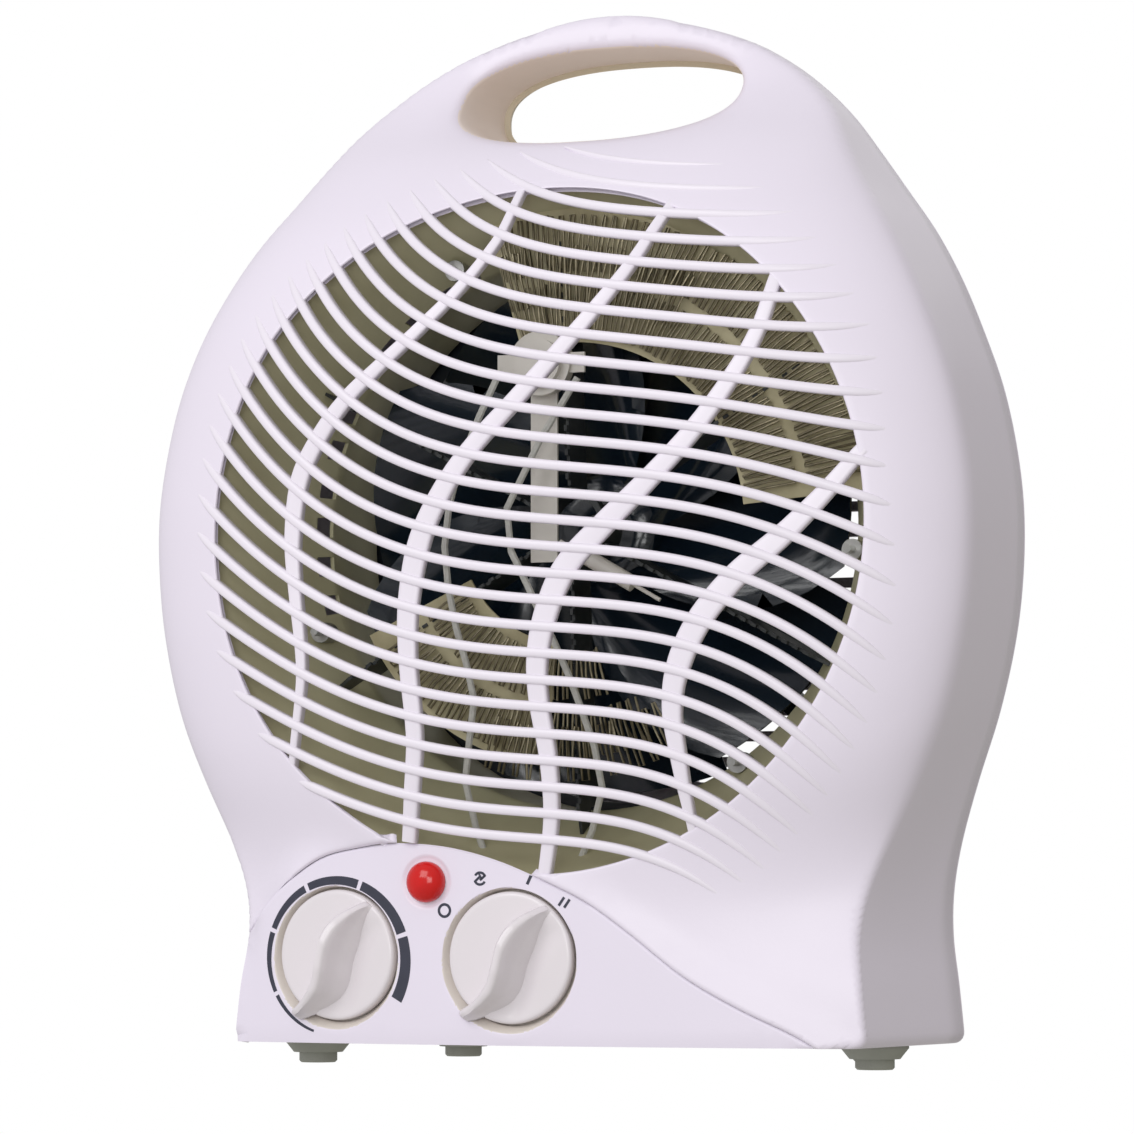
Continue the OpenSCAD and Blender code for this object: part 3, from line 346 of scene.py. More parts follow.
# the shell meets the panel in a soft lip that stands a little proud of it
yb = np.minimum(yf, bow(v2[:, 0])-1.1)
yf = yf+(yb-yf)*np.clip(1-d_arc/9.0, 0, 1)**2*(v2[:, 1] < 62)*ease((v2[:, 0]+78)/16)
yf = yf+roll(d_arc, 1.1)*(v2[:, 1] < 62)
front_v = np.stack([v2[:, 0], yf, v2[:, 1]], 1)
ny = 7
def wall_rows(A, B, ya, yb, n, groove):
    """Rows from loop A at ya to loop B at yb, ending in a fine chamfer at the seam."""
    rows = []
    for i in range(n+1):
        t = i/n; p = A+(B-A)*t; rows.append(np.stack([p[:, 0], ya+(yb-ya)*t, p[:, 1]], 1))
    v = B-np.array([0, CZ]); r = np.hypot(v[:, 0], v[:, 1]); q = np.array([0, CZ])+v*(1-0.55/r)[:, None]
    rows.append(np.stack([q[:, 0], np.full(len(q), groove), q[:, 1]], 1)); return rows
ya = face(OUT1[:, 0], OUT1[:, 1])
rows = wall_rows(OUT1, OUT2, ya, SEAM-0.6, 6, SEAM-0.08)
wv = np.concatenate(rows); wf = grid_faces(len(OUT1), len(rows))
gy = face(gl[:, 0], gl[:, 1]); SLV = 23.5
def sleeve_rows(d0, y0, y1, d1, n=6):
    out = []
    for i in range(n+1):
        t = i/n; e = ell(d0+(d1-d0)*t, 120); out.append(np.stack([e[:, 0], y0+(y1-y0)*t, e[:, 1]], 1))
    return out
sr = sleeve_rows(0, gy, SLV, 0.25)
sv = np.concatenate(sr); sf = grid_faces(120, len(sr))
V, F = join([(front_v, [tuple(t) for t in f2]), (wv, wf), (sv, sf)], "f")
skin = obj("front_shell_skin", V, F, M["shell"], smooth=False)
weld(skin, 0.03); orient(skin, (0, 0, 120))
solidify(skin, 2.4, -1.0); weld(skin, 0.002); shade(skin, 62)
# the handle hole's inner sleeve gets the beige copy of the shell material as painted shade
skin.data.materials.append(M["grip"])
for pl in skin.data.polygons:
    c = pl.center/K
    if abs(float(grip_d(c.x, c.z))) < 0.9 and c.y > float(face0(c.x, c.z))+3.0: pl.material_index = 1
skin["_r"] = ["front_shell"]; skin["_s"] = "shell"; put(skin)

# ------------------------------------------------------------------ louvre
def slat_z(j, x):
    t = x/80.0; z0 = 55.8+6.28*j+0.0115*j*j; u = (z0-130)/80.0
    return z0+t*(-9.33-8.58*u-7.52*u*u-2.33*u**3)+t*t*(11+10.43*u+11.31*u*u+12.72*u**3)+t**3*(-25.04-6.26*u-22.9*u*u)+t**4*(2.2+28.51*u+1.13*u*u)
TA = np.array([-180,-165,-145,-130,-115,-90,-75,-57,-30,0,9,28,60,90,120,147,165,180], float)
TR = np.array([90,89,87,85.5,86.5,92,99,103,98,91,90.5,97,99,96,94.5,94,91.5,90], float)
def tip_R(x, z): return np.interp(np.degrees(np.arctan2(z-ZO, x)), TA, TR)
SEC = [(-1, 1.0), (-0.97, 0.5), (-0.82, 0.2), (-0.5, 0.04), (0, 0), (0.5, 0.04), (0.82, 0.2), (0.97, 0.5), (1, 1.0)]
def sweep_slat(j, hw=1.22, depth=3.4, proud=0.6):
    x = 0.0; 
    while abs(x) < 110 and np.hypot(x, slat_z(j, x)-ZO) < tip_R(x, slat_z(j, x)): x -= 0.5
    a = x; x = 0.0
    while abs(x) < 110 and np.hypot(x, slat_z(j, x)-ZO) < tip_R(x, slat_z(j, x)): x += 0.5
    b = x
    if b-a < 6: return None
    n = 84; xs = a+(b-a)*(0.5-0.5*np.cos(np.linspace(0, math.pi, n)))*0.35+(b-a)*np.linspace(0, 1, n)*0.65
    V = []
    for x in xs:
        z = slat_z(j, x); m = (slat_z(j, x+0.3)-slat_z(j, x-0.3))/0.6; nn = np.array([-m, 1])/math.hypot(m, 1)
        R = math.hypot(x, z-ZO); T_ = float(tip_R(x, z)); u = min(max((R-RO)/max(T_-RO, 1), 0), 1)
        w = hw*(1-0.8*u**2.2); pr = proud*(1-u)**0.45-0.3*u**3
        y0 = float(face_s(x, z))
        dd = depth*(1-u)+1.6*u
        ring = [(s*w, c*w*1.1) for s, c in SEC]+[(0.86*w, dd), (-0.86*w, dd)]
        for s, c in ring:
            px, pz = x+nn[0]*s, z+nn[1]*s
            V.append((px, y0-pr+c, pz))
    k = len(SEC)+2
    return np.array(V), grid_faces(k, n)+[tuple(range(k))[::-1], tuple(range((n-1)*k, n*k))]
parts = [q for q in (sweep_slat(j) for j in range(25)) if q]
for j in (25, 26):
    q = sweep_slat(j, 1.3, 2.0, 0.5)
    if q: parts.append(q)
V, F = join(parts, "s"); slats = obj("louvre_slats", V, F, M["grille"], smooth=False)
weld(slats, 0.002); shade(slats, 50); slats["_s"] = "shell"; put(slats)
ARCX, ARCZ = [-81, -74.5, -67.4, -56.6, -45, -35, -21.4, -8, 5.3, 15, 25.2, 38.5, 51.6, 64, 71, 200], [31, 37.5, 44.4, 51.2, 53.8, 54.8, 53.7, 50.3, 44.8, 40, 32.9, 22.7, 15.3, 9.5, 5, 0]
RIBS = [[(-7.2,217.5),(-9,206),(-11.6,199.5),(-19,189),(-28.5,179.3),(-37.5,171.5),(-46.7,163.3),(-54,154),(-59.2,143.6),(-61,129),(-60.3,117),(-58.9,104.3),(-58.8,94),(-61.3,79.5),(-62.5,73)],
 [(33.5,209.5),(31.6,205.8),(25.5,194),(17,182),(7.3,171),(-2.7,160.5),(-13,150),(-20.5,139.7),(-26.3,127.8),(-29.2,113.3),(-29.5,99),(-28.4,84.3),(-28.7,74.7),(-31.8,54.2),(-32.6,50)],
 [(63.2,193),(61.7,189.3),(58.8,177),(52.6,165),(43,152),(32,140.5),(20.8,130),(11.8,120.8),(6.7,110),(4.2,99),(4.3,88.7),(6.2,75),(6.2,62),(3.7,47.7),(3.0,44)],
 [(85,148.5),(82.2,145.4),(74.3,136),(65,126.7),(54,117.5),(45,107),(39.6,96),(37.9,86),(39,75),(41.3,56.8),(42.2,50)]]
WIDE = [([73, 78, 97, 115, 132, 145, 158, 171, 190, 208, 218], [1.7, 1.9, 2.6, 3.3, 4.3, 4.7, 4.2, 3.3, 2.7, 2.3, 2.0]),
 ([50, 68.7, 96.6, 112, 124.5, 138, 152, 174.7, 190, 203, 210], [3.4, 4.0, 4.5, 5.3, 5.8, 5.2, 4.5, 3.9, 3.2, 2.7, 2.5]),
 ([44, 50, 78, 96.6, 108, 119, 130, 143, 171, 190, 194], [3.2, 3.4, 4.4, 5.2, 5.9, 6.2, 5.7, 4.9, 3.9, 3.3, 3.2]),
 ([50, 59, 72, 91, 98, 106, 115, 124.5, 136, 145, 149], [2.0, 2.3, 3.7, 5.3, 6.0, 6.2, 6.1, 5.5, 4.4, 3.6, 3.3])]
parts = []
for P, (wz, ww) in zip(RIBS, WIDE):
    n = 90; V = []
    us = np.linspace(0, len(P)-1, 400)
    us = np.array([u for u in us if np.hypot(cr(P, u)[0], cr(P, u)[1]-ZO) < RO+1.4 and cr(P, u)[1] > np.interp(cr(P, u)[0], ARCX, ARCZ)+0.3])
    us = np.linspace(us[0], us[-1], n)
    for i, u in enumerate(us):
        q = cr(P, u); e = cr(P, min(u+0.05, len(P)-1))-cr(P, max(u-0.05, 0)); t = e/np.linalg.norm(e); nx = np.array([-t[1], t[0]])
        w = float(np.interp(q[1], wz, ww))/2; y0 = float(face_s(q[0], q[1]))
        for s, c in [(-1, 1.1), (-0.98, 0.5), (-0.88, 0.16), (-0.6, 0.02), (0, 0), (0.6, 0.02), (0.88, 0.16), (0.98, 0.5), (1, 1.1), (0.9, 2.9), (-0.9, 2.9)]:
            V.append((q[0]+nx[0]*s*w, y0+0.1+c, q[1]+nx[1]*s*w))
    k = 11; parts.append((np.array(V), grid_faces(k, n)+[tuple(range(k))[::-1], tuple(range((n-1)*k, n*k))]))
V, F = join(parts, "r"); ribs = obj("louvre_ribs", V, F, M["grille"], smooth=False)
weld(ribs, 0.002); shade(ribs, 50); ribs["_s"] = "shell"; put(ribs)

# ------------------------------------------------------------------ rear shell
def slotpoly(s, h, c):
    a, b = (2.5, c) if s > 0 else (-c, -2.5); r = 1.9; o = []
    for cx, a0 in ((b-r, -90), (a+r, 90)):
        for k in range(9):
            t = math.radians(a0+k*22.5); o.append((cx+r*math.cos(t), ZF+h+2.0*math.sin(t)))
    return dens(np.array(o), 4.0)
slots = []
for i in range(-9, 10):
    h = i*6.6; c = math.sqrt(max(64*64-h*h, 0))
    if c > 12:
        slots += [slotpoly(1, h, c), slotpoly(-1, h, c)]
inl = circ(5.6, 28, (-46, 24)); bolts = [circ(4.2, 24, (s*x, z)) for s in (-1, 1) for x, z in ((66, 58), (57, 214))]
gr = ell(0.3, 120)
def keep_rear(P):
    k = inpoly(P, OUTR) & (grip_d(P[:, 0], P[:, 1]) > 0.29) & (np.hypot(P[:, 0]+46, P[:, 1]-24) > 5.59)
    for s in (-1, 1):
        for x, z in ((66, 58), (57, 214)): k &= np.hypot(P[:, 0]-s*x, P[:, 1]-z) > 4.19
    for sp in slots:
        lo, hi = sp.min(0), sp.max(0); b = (P[:, 0] > lo[0]) & (P[:, 0] < hi[0]) & (P[:, 1] > lo[1]) & (P[:, 1] < hi[1])
        if b.any():
            kk = k[b]; kk &= ~inpoly(P[b], sp); k[b] = kk
    return k
ex = [inset(OUTR, d) for d in (0.3, 0.9, 1.8, 2.9, 4.2, 6.0, 8.5)]+[ell(0.3+d, 120) for d in (0.15, 0.5, 1.1, 2.0, 3.2)]
v3, f3 = plate([OUTR, gr, inl]+bolts+slots, [], keep_rear, ex, 3.4)
def dimple(x, z):   # shallow dish round the intake and a fine rim
    r = np.hypot(x, z-ZF); return 1.2*ease((74-r)/3.0)
rb = np.stack([v3[:, 0], back(v3[:, 0], v3[:, 1])-dimple(v3[:, 0], v3[:, 1]), v3[:, 1]], 1)
yr = back(OUTR[:, 0], OUTR[:, 1])
rr = wall_rows(OUTR, OUT2, yr, SEAM+0.6, 8, SEAM+0.08)
gyr = back(gr[:, 0], gr[:, 1]); e2 = ell(0.75, 120)
sl = []
for t in np.linspace(0, 1, 4): 
    e = ell(0.3-1.5*t, 120); sl.append(np.stack([e[:, 0], gyr+(SLV+0.25-gyr)*t, e[:, 1]], 1))
V, F = join([(rb, [tuple(t) for t in f3]), (np.concatenate(rr), grid_faces(len(OUTR), len(rr))), (np.concatenate(sl), grid_faces(120, 4))], "b")
rear = obj("rear_shell_skin", V, F, M["rear"], smooth=False)
weld(rear, 0.03); orient(rear, (0, 0, 120)); solidify(rear, 2.3, -1.0); weld(rear, 0.002); shade(rear, 38)
# the rear shell's wall round the handle hole gets the darker copy of the plastic as painted shade
rear.data.materials.append(M["lip"])
for pl in rear.data.polygons:
    c = pl.center/K
    if -1.8 < float(grip_d(c.x, c.z)) < 0.25 and c.y < float(back0(c.x, c.z))-0.6: pl.material_index = 1
rear["_s"] = "shell"
def bore(x, z, floor):
    """Screw recess whose mouth follows the back of the shell."""
    n = 32; A = np.arange(n)*2*math.pi/n; rows = []
    for r, y in ((4.22, None), (4.2, floor), (2.1, floor-0.1), (2.1, floor-4), (5.8, floor-4), (5.8, None)):
        px, pz = x+r*np.cos(A), z+r*np.sin(A); e = edge_in(px, pz, RR) < 0.6
        yy = back(px, pz)-dimple(px, pz)-(0.05 if r < 5 else 1.6) if y is None else np.full(n, float(y))
        rows.append(np.stack([px, np.where(e, floor, yy) if r > 5 and y is None else yy, pz], 1))
    rows.append(rows[0]); V = np.concatenate(rows); return V, grid_faces(n, len(rows))
wells = [bore(s*x, z, f) for s in (-1, 1) for x, z, f in ((66, 58, 36.1), (57, 214, 28.2))]
V, F = join(wells, "w"); rw = obj("rear_screw_wells", V, F, M["rear"], smooth=False); weld(rw, 0.002); shade(rw, 38); rw["_s"] = "shell"; put(rw)
rear["_r"] = ["rear_shell"]; put(rear)

# ------------------------------------------------------------------ control panel
def well_y(x, z):
    y = np.zeros(np.shape(x))
    for p in (KNOB_A, KNOB_B):
        a = math.asin(p[0]/PR); dx = (x-p[0])/math.cos(a); r = np.hypot(dx, z-p[1]); ro = 17.45+0.85*np.cos(np.arctan2(z-p[1], dx)+math.radians(125))
        t = (ro-r)/(ro-16.35)      # a wide coned rim, a shade wider at the lower left
        y = np.maximum(y, np.where(r < 16.3, 3.7, np.interp(t, [-0.12, 0, 0.12, 0.95, 1.0], [0, 0.06, 0.3, 2.3, 2.6])))
    r = np.hypot(x-LAMP[0], z-LAMP[1])
    return y+np.interp(-r, [-6.6, -6.1, -5.6], [0, 0.35, 0.5])
lw = [circ(5.2, 40, p) for p in (KNOB_A, KNOB_B)]+[circ(4.8, 40, LAMP)]
edgeL = np.array([[x, z] for x, z in zip(-col(np.arange(6.0, 32, 1.5), 1)+0.4, np.arange(6.0, 32, 1.5))])
pin = arc_off(-0.06)
# closed outline of the panel: along the bottom, up the arc and down the left edge
keepa = (pin[:, 1] > 6.2) & (pin[:, 0] > -80.0)
bx = np.arange(-81.4, 69.5, 1.6)
ploop = np.concatenate([np.stack([bx, np.full(len(bx), 6.05)], 1), pin[keepa], edgeL[::-1][2:-1]])
def keep_pan(P):
    k = inpoly(P, ploop)
    for p in (KNOB_A, KNOB_B): k &= np.hypot(P[:, 0]-p[0], P[:, 1]-p[1]) > 5.19
    return k & (np.hypot(P[:, 0]-LAMP[0], P[:, 1]-LAMP[1]) > 4.79)
ex = []
for p in (KNOB_A, KNOB_B):
    for r in (19.6, 19.1, 18.8, 18.5, 18.2, 17.9, 17.6, 17.3, 17.0, 16.7, 16.45, 16.33, 16.26, 15.9): ex.append(circ(r, 110, p))
for r in (6.9, 6.6, 6.1, 5.6, 5.2): ex.append(circ(r, 48, LAMP))
ex += [arc_off(-d) for d in (0.5, 0.9, 1.6)]
v4, f4 = plate([ploop]+lw, [], keep_pan, ex, 2.6)
def loop_d(P, loop):
    a = loop; b = np.roll(loop, -1, 0); ab = b-a; L2 = (ab**2).sum(1)+1e-12; out = np.empty(len(P))
    for s in range(0, len(P), 500):
        q = P[s:s+500]; t = np.clip(((q[:, None, :]-a[None])*ab[None]).sum(2)/L2[None], 0, 1)
        out[s:s+500] = np.sqrt(((q[:, None, :]-(a[None]+ab[None]*t[..., None]))**2).sum(2)).min(1)
    return out
dl = loop_d(v4, ploop)
yp = bow(v4[:, 0])+well_y(v4[:, 0], v4[:, 1])+roll(dl, 0.35)
# at the left corner the panel follows the housing's own rounded edge
fo = face(np.maximum(v4[:, 0], -81.5), np.maximum(v4[:, 1], 7.0)); k = ease((-v4[:, 0]-73)/6.0)
yp = yp*(1-k)+np.maximum(yp, fo)*k
V = np.stack([v4[:, 0], yp, v4[:, 1]], 1)
pan = obj("control_panel_skin", V, [tuple(t) for t in f4], M["panel"], smooth=False)
weld(pan, 0.001); orient(pan, (0, 0, 28)); solidify(pan, 2.2, -1.0); shade(pan, 38)
pan.data.materials.append(M["well"])
for pl in pan.data.polygons:   # the well walls get a darker, warmer copy of the panel plastic as painted shade
    c = pl.center/K
    for p in (KNOB_A, KNOB_B):
        if math.hypot(c.x-p[0], c.z-p[1]) < 17.5+0.85*math.cos(math.atan2(c.z-p[1], c.x-p[0])+math.radians(125)): pl.material_index = 1
pan["_r"] = ["control_panel"]; pan["_s"] = "panel"; put(pan)

# printed marks, a hair proud of the panel
def band(c, r_in, r_out, a0, a1, n, lift=0.07):
    """Ring band whose inner and outer radii are functions of the angle, laid on the bow."""
    V, F = [], []
    for i in range(n+1):
        a = math.radians(a0+(a1-a0)*i/n); ri, ro = r_in(a0+(a1-a0)*i/n), r_out(a0+(a1-a0)*i/n)
        for r, dy in ((ri, 0), (ro, 0), (ro, 0.1), (ri, 0.1)):
            x = c[0]+r*math.cos(a); V.append((x, float(bow(x))-lift+dy, c[1]+r*math.sin(a)))
    F = grid_faces(4, n+1)+[(3, 2, 1, 0), (4*n, 4*n+1, 4*n+2, 4*n+3)]
    return np.array(V), F
def stroke(a, b, w, lift=0.07):
    a, b = np.array(a, float), np.array(b, float); t = (b-a)/np.linalg.norm(b-a); n = np.array([-t[1], t[0]])*w/2; q = [a-n, b-n, b+n, a+n]
    V = [(p[0], float(bow(p[0]))-lift, p[1]) for p in q]+[(p[0], float(bow(p[0]))-lift+0.1, p[1]) for p in q]
    return np.array(V), [(0, 1, 2, 3), (7, 6, 5, 4), (0, 4, 5, 1), (1, 5, 6, 2), (2, 6, 7, 3), (3, 7, 4, 0)]
def wedge(a):      # thickness grows clockwise from the lower left to the right
    t = (253-a)/284.0; return 0.55+2.5*max(min(t, 1), 0)**0.9
marks = []
edges = [253, 207, 158.5, 114.8, 69.3, 17.6, -31]
for a, b in zip(edges[:-1], edges[1:]):
    marks.append(band((KNOB_A[0]-0.6, KNOB_A[1]-1.1), lambda t: 18.2, lambda t: 18.2+wedge(t), a-1.6, b+1.6, 24))
marks.append(band((-22.4, 38.4), lambda t: 1.15, lambda t: 1.8, 0, 359.9, 32))
for a, b in ((20, 150), (200, 330)): marks.append(band((-13.0, 46.1), lambda t: 1.15, lambda t: 1.75, a, b, 16))
marks += [stroke((-14.3, 45.4), (-13.0, 46.6), 0.6), stroke((-11.7, 46.8), (-13.0, 45.7), 0.6), stroke((-13.4, 47.5), (-12.5, 45.9), 0.5)]
marks.append(stroke((-0.7, 44.7), (0.3, 46.8), 0.75))
marks += [stroke((7.4, 39.6), (8.8, 41.6), 0.65), stroke((8.8, 39.1), (10.2, 41.1), 0.65)]
V, F = join(marks, "m"); mk = obj("dial_marks", V, F, M["ink"], smooth=False); weld(mk, 0.0005); mk["_s"] = "dark_plastic"; put(mk)

# ------------------------------------------------------------------ knobs
CREST = [(-18.6,-0.6),(-16.0,-1.6),(-12,-2.6),(-7.5,-2.9),(-3,-1.4),(1.5,0.9),(6,2.3),(10,2.2),(13.5,1.3),(16,0.4)]
def crest(u):
    xs = [c[0] for c in CREST]; i = float(np.interp(u, xs, range(len(xs)))); return float(cr(np.array([(c[1], 0) for c in CREST]), i)[0])
def crest_h(u): return float(np.interp(u, [-18.7, -18.1, -17.0, -13.5, -9, -3, 3, 8, 12, 14.4, 15.6], [0.9, 2.0, 3.0, 4.8, 6.9, 8.6, 8.6, 7.0, 4.4, 1.7, 0.1]))
def knob_mesh():
    # disc with a scooped side
    rs = [0, 1.4, 2.8, 4.2, 5.6, 7.0, 8.4, 9.8, 11.2, 12.4, 13.4, 14.2, 14.9, 15.35, 15.65, 15.85, 15.9]; n = 96; V = [(0, -0.5, 0)]; F = []
    def hgt(x, z):
        c = crest(x); d = c-z      # d > 0 is the scooped side
        s = 1.5*math.exp(-((d-5.6)/2.7)**2)*max(0, 1-(x/15.0)**2)
        return -0.5+s
    for r in rs[1:]:
        for k in range(n):
            a = 2*math.pi*k/n; x, z = r*math.cos(a), r*math.sin(a); e = float(roll(np.array(15.9-r), 1.0))
            V.append((x, hgt(x, z)*(1 if r < 16 else 1)+e, z))
    for k in range(n): F.append((0, 1+k, 1+(k+1) % n))
    F += grid_faces(n, len(rs)-1, off=1)
    base = 1+(len(rs)-2)*n
    extra_r = [(15.9, 1.0), (15.9, 2.2), (15.7, 2.7), (15.2, 2.85)]
    off = len(V)
    for r, y in extra_r:
        for k in range(n): V.append((r*math.cos(2*math.pi*k/n), y, r*math.sin(2*math.pi*k/n)))
    for k in range(n): F.append((base+k, base+(k+1) % n, off+(k+1) % n, off+k))
    F += grid_faces(n, 4, off=off)
    F.append(tuple(off+3*n+k for k in range(n))[::-1])
    # blade
    PR_ = [(2.6,-0.9),(2.15,0.25),(1.75,0.62),(1.25,0.88),(0.65,0.985),(0.0,1.0),(-0.75,0.985),(-1.5,0.93),(-2.1,0.72),(-2.9,0.44),(-3.7,0.22),(-4.7,0.06),(-5.6,-0.05),(-6.2,-0.9)]
    us = np.concatenate([np.linspace(-18.7, -16.4, 8), np.linspace(-16, 12.5, 46), np.linspace(13, 15.5, 9)]); B = []
    for u in us:
        h = crest_h(u); c = crest(u); wf = float(np.interp(u, [-19.4, -18.6, -17, -13, -8, 5, 11, 15, 16.6], [0.35, 0.62, 0.78, 0.85, 0.95, 1.0, 0.85, 0.55, 0.2])); rt = float(np.interp(u, [-19.4, -16, -11, -4, 7, 12, 16.6], [0.45, 0.5, 0.8, 1.0, 1.0, 0.7, 0.3]))
        for v, q in PR_:
            vv = v*wf*(rt if v < -0.8 else 1.0); y = -0.5-h*q if q > 0 else (2.0 if u*u+vv*vv < 195 else -0.25)
            B.append((u, y, c+vv))
    k = len(PR_)
    Fb = grid_faces(k, len(us))+[tuple(range(k))[::-1], tuple(range((len(us)-1)*k, len(us)*k))]
    return join([(np.array(V), F), (np.array(B), Fb), lathe([(3.1, 2.8), (4.5, 2.8), (4.5, 6.0), (3.1, 6.0)], 40, closed=True)], "k")
KV, KF = knob_mesh()
def spin(V, deg):
    a = math.radians(deg); c, s = math.cos(a), math.sin(a); V = np.asarray(V, float); return np.stack([V[:, 0]*c-V[:, 2]*s, V[:, 1], V[:, 0]*s+V[:, 2]*c], 1)
for nm, p, ang, body in (("thermostat_knob", KNOB_A, 51, "thermostat_dial"), ("switch_knob", KNOB_B, 48, "switch_dial")):
    o = obj(nm+"_skin", on_panel(p, spin(KV, ang)), KF, M["knob"], body, smooth=False, reps=(nm,), slot="knob"); weld(o, 0.002); shade(o, 42); put(o)
# lamp window with a fine collar
prof = [(4.45, 6.0), (4.45, 0.6), (4.98, 0.35), (5.0, -0.3)]+[(5.02*math.cos(t), -0.3-3.4*math.sin(t)) for t in np.linspace(0.15, math.pi/2-0.02, 14)]
V, F = lathe(prof, 64); V = on_panel(LAMP, V); o = obj("lamp_window", V, F, M["lens"], smooth=False, reps=("lamp_lens",), slot="lens"); weld(o, 0.001); shade(o, 40); put(o)

# ------------------------------------------------------------------ duct, element, fan
def duct():
    n = 180; V = []; rows_n = 0; prof = []
    A = np.arange(n)*2*math.pi/n; rows = []
    for r, f in ((RO+2.6, 0.0), (RO+0.2, 0.10), (81.0, 0.32), (78, 0.5), (75, 0.68), (72.2, 0.86), (70.6, 0.96), (70, 1.0)):
        x = r*np.cos(A); z = ZO+(ZF-ZO)*f+r*np.sin(A)
        xo, zo = (RO+1.5)*np.cos(A), ZO+(RO+1.5)*np.sin(A)
        y0 = np.maximum(face0(xo, zo)+3.6, -54); y = y0+(-12-y0)*f
        if r > RO: x, z, y = (RO+2.6)*np.cos(A), ZO+(RO+2.6)*np.sin(A), y0-0.2
        rows.append(np.stack([x, y, z], 1))
    for y in (-9, -3, 6, 16): rows.append(np.stack([70*np.cos(A), np.full(n, float(y)), ZF+70*np.sin(A)], 1))
    V = np.concatenate(rows); F = []
    for i in range(len(rows)-1):
        for k in range(n):
            deg = 360*k/n
            if i in (5, 6) and 112 < deg < 200 and int(deg/4) % 2 == 0: continue   # castellated windows
            k2 = (k+1) % n; F.append((i*n+k, i*n+k2, (i+1)*n+k2, (i+1)*n+k))
    return V, F
V, F = duct(); o = obj("duct_skin", V, F, M["duct"], smooth=False, reps=("element_duct",), slot="duct"); weld(o, 0.002)
orient(o, (0, -20, 133), out=False); solidify(o, 1.0, -1.0); shade(o, 40); put(o)

def sector(a0, a1, ra, rb, y, t, n=60, wob=0.0):
    V = []
    for i in range(n+1):
        a = math.radians(a0+(a1-a0)*i/n)
        for r, dy in ((ra, 0), (rb, 0), (rb, t), (ra, t)): V.append((r*math.cos(a), y+dy, ZF+r*math.sin(a)))
    return np.array(V), grid_faces(4, n+1)+[(3, 2, 1, 0), (4*n, 4*n+1, 4*n+2, 4*n+3)]
rng = np.random.default_rng(7)
def zigzag(a0, a1, ra, rb, y, pitch_deg, r_w=0.34):
    """A corrugated wire: long radial legs joined by tight bends, slightly uneven as a wound one is."""
    n = int(abs(a1-a0)/pitch_deg); P = []
    for i in range(n+1):
        a = a0+(a1-a0)*i/n; j = rng.uniform(-0.18, 0.18)*pitch_deg; lo, hi = (ra, rb) if i % 2 == 0 else (rb, ra)
        dy = rng.uniform(-0.35, 0.35)
        for f in (0.0, 0.5, 1.0):
            r = lo+(hi-lo)*f+rng.uniform(-0.25, 0.25); t = math.radians(a+j*(1 if f < 0.6 else -1)+(a1-a0)/n*f*0.35)
            P.append((r*math.cos(t), y+dy-0.9*math.sin(math.pi*f), ZF+r*math.sin(t)))
    return tube(P, r_w, 6)
mk_ = [sector(5, 106, 45.5, 79, -26.6, 0.7), sector(206, 264, 29, 59.5, -26.6, 0.7)]
for a in (32, 92, 152, 212, 272, 332):      # arms of the former with notched front edges
    t = math.radians(a); c, s = math.cos(t), math.sin(t); prof = [(9, -14)]
    prof += [(69, -14), (69, -19), (76, -19), (76, -25), (72, -26)]
    for i in range(20): r = 70-i*3.0; prof += [(r, -27.0), (r-1.5, -27.0), (r-1.5, -25.6), (r-3.0, -25.6)]
    prof = [(max(r, 9), y) for r, y in prof]
    n = len(prof); V = [(r*c-0.4*s, y, ZF+r*s+0.4*c) for r, y in prof]+[(r*c+0.4*s, y, ZF+r*s-0.4*c) for r, y in prof]
    F = [tuple(range(n)), tuple(range(n, 2*n))[::-1]]+[(i, i+n, (i+1) % n+n, (i+1) % n) for i in range(n)]
    mk_.append((np.array(V), F))
mk_.append(lathe([(8, -27.4), (9.5, -27.4), (9.5, -14.4), (8, -14.4)], 48, c=(0, ZF), closed=True))
V, F = join(mk_[2:], "m"); o = obj("mica_formers_skin", V, F, M["arm"], smooth=False, reps=("mica_formers",), slot="mica"); put(o)
V, F = join(mk_[:2], "m"); o = obj("mica_backs_skin", V, F, M["mica"], smooth=False, reps=("mica_backs",), slot="mica"); put(o)
up = [zigzag(8, 104, 47, 60, -28.2, 1.25), zigzag(8, 104, 63, 77, -28.2, 1.05), zigzag(60, 104, 55, 69, -30.0, 1.3)]
V, F = join(up, "u"); o = obj("upper_coil_wire", V, F, M["wire"], smooth=True, angle=60, reps=("upper_coil",), slot="wire"); put(o)
lo = [zigzag(210, 284, 31.5, 43, -28.2, 1.9), zigzag(212, 292, 46, 57.5, -28.2, 1.45), zigzag(250, 300, 50, 63, -30.2, 1.7)]
V, F = join(lo, "l"); o = obj("lower_coil_wire", V, F, M["wire"], smooth=True, angle=60, reps=("lower_coil",), slot="wire"); put(o)

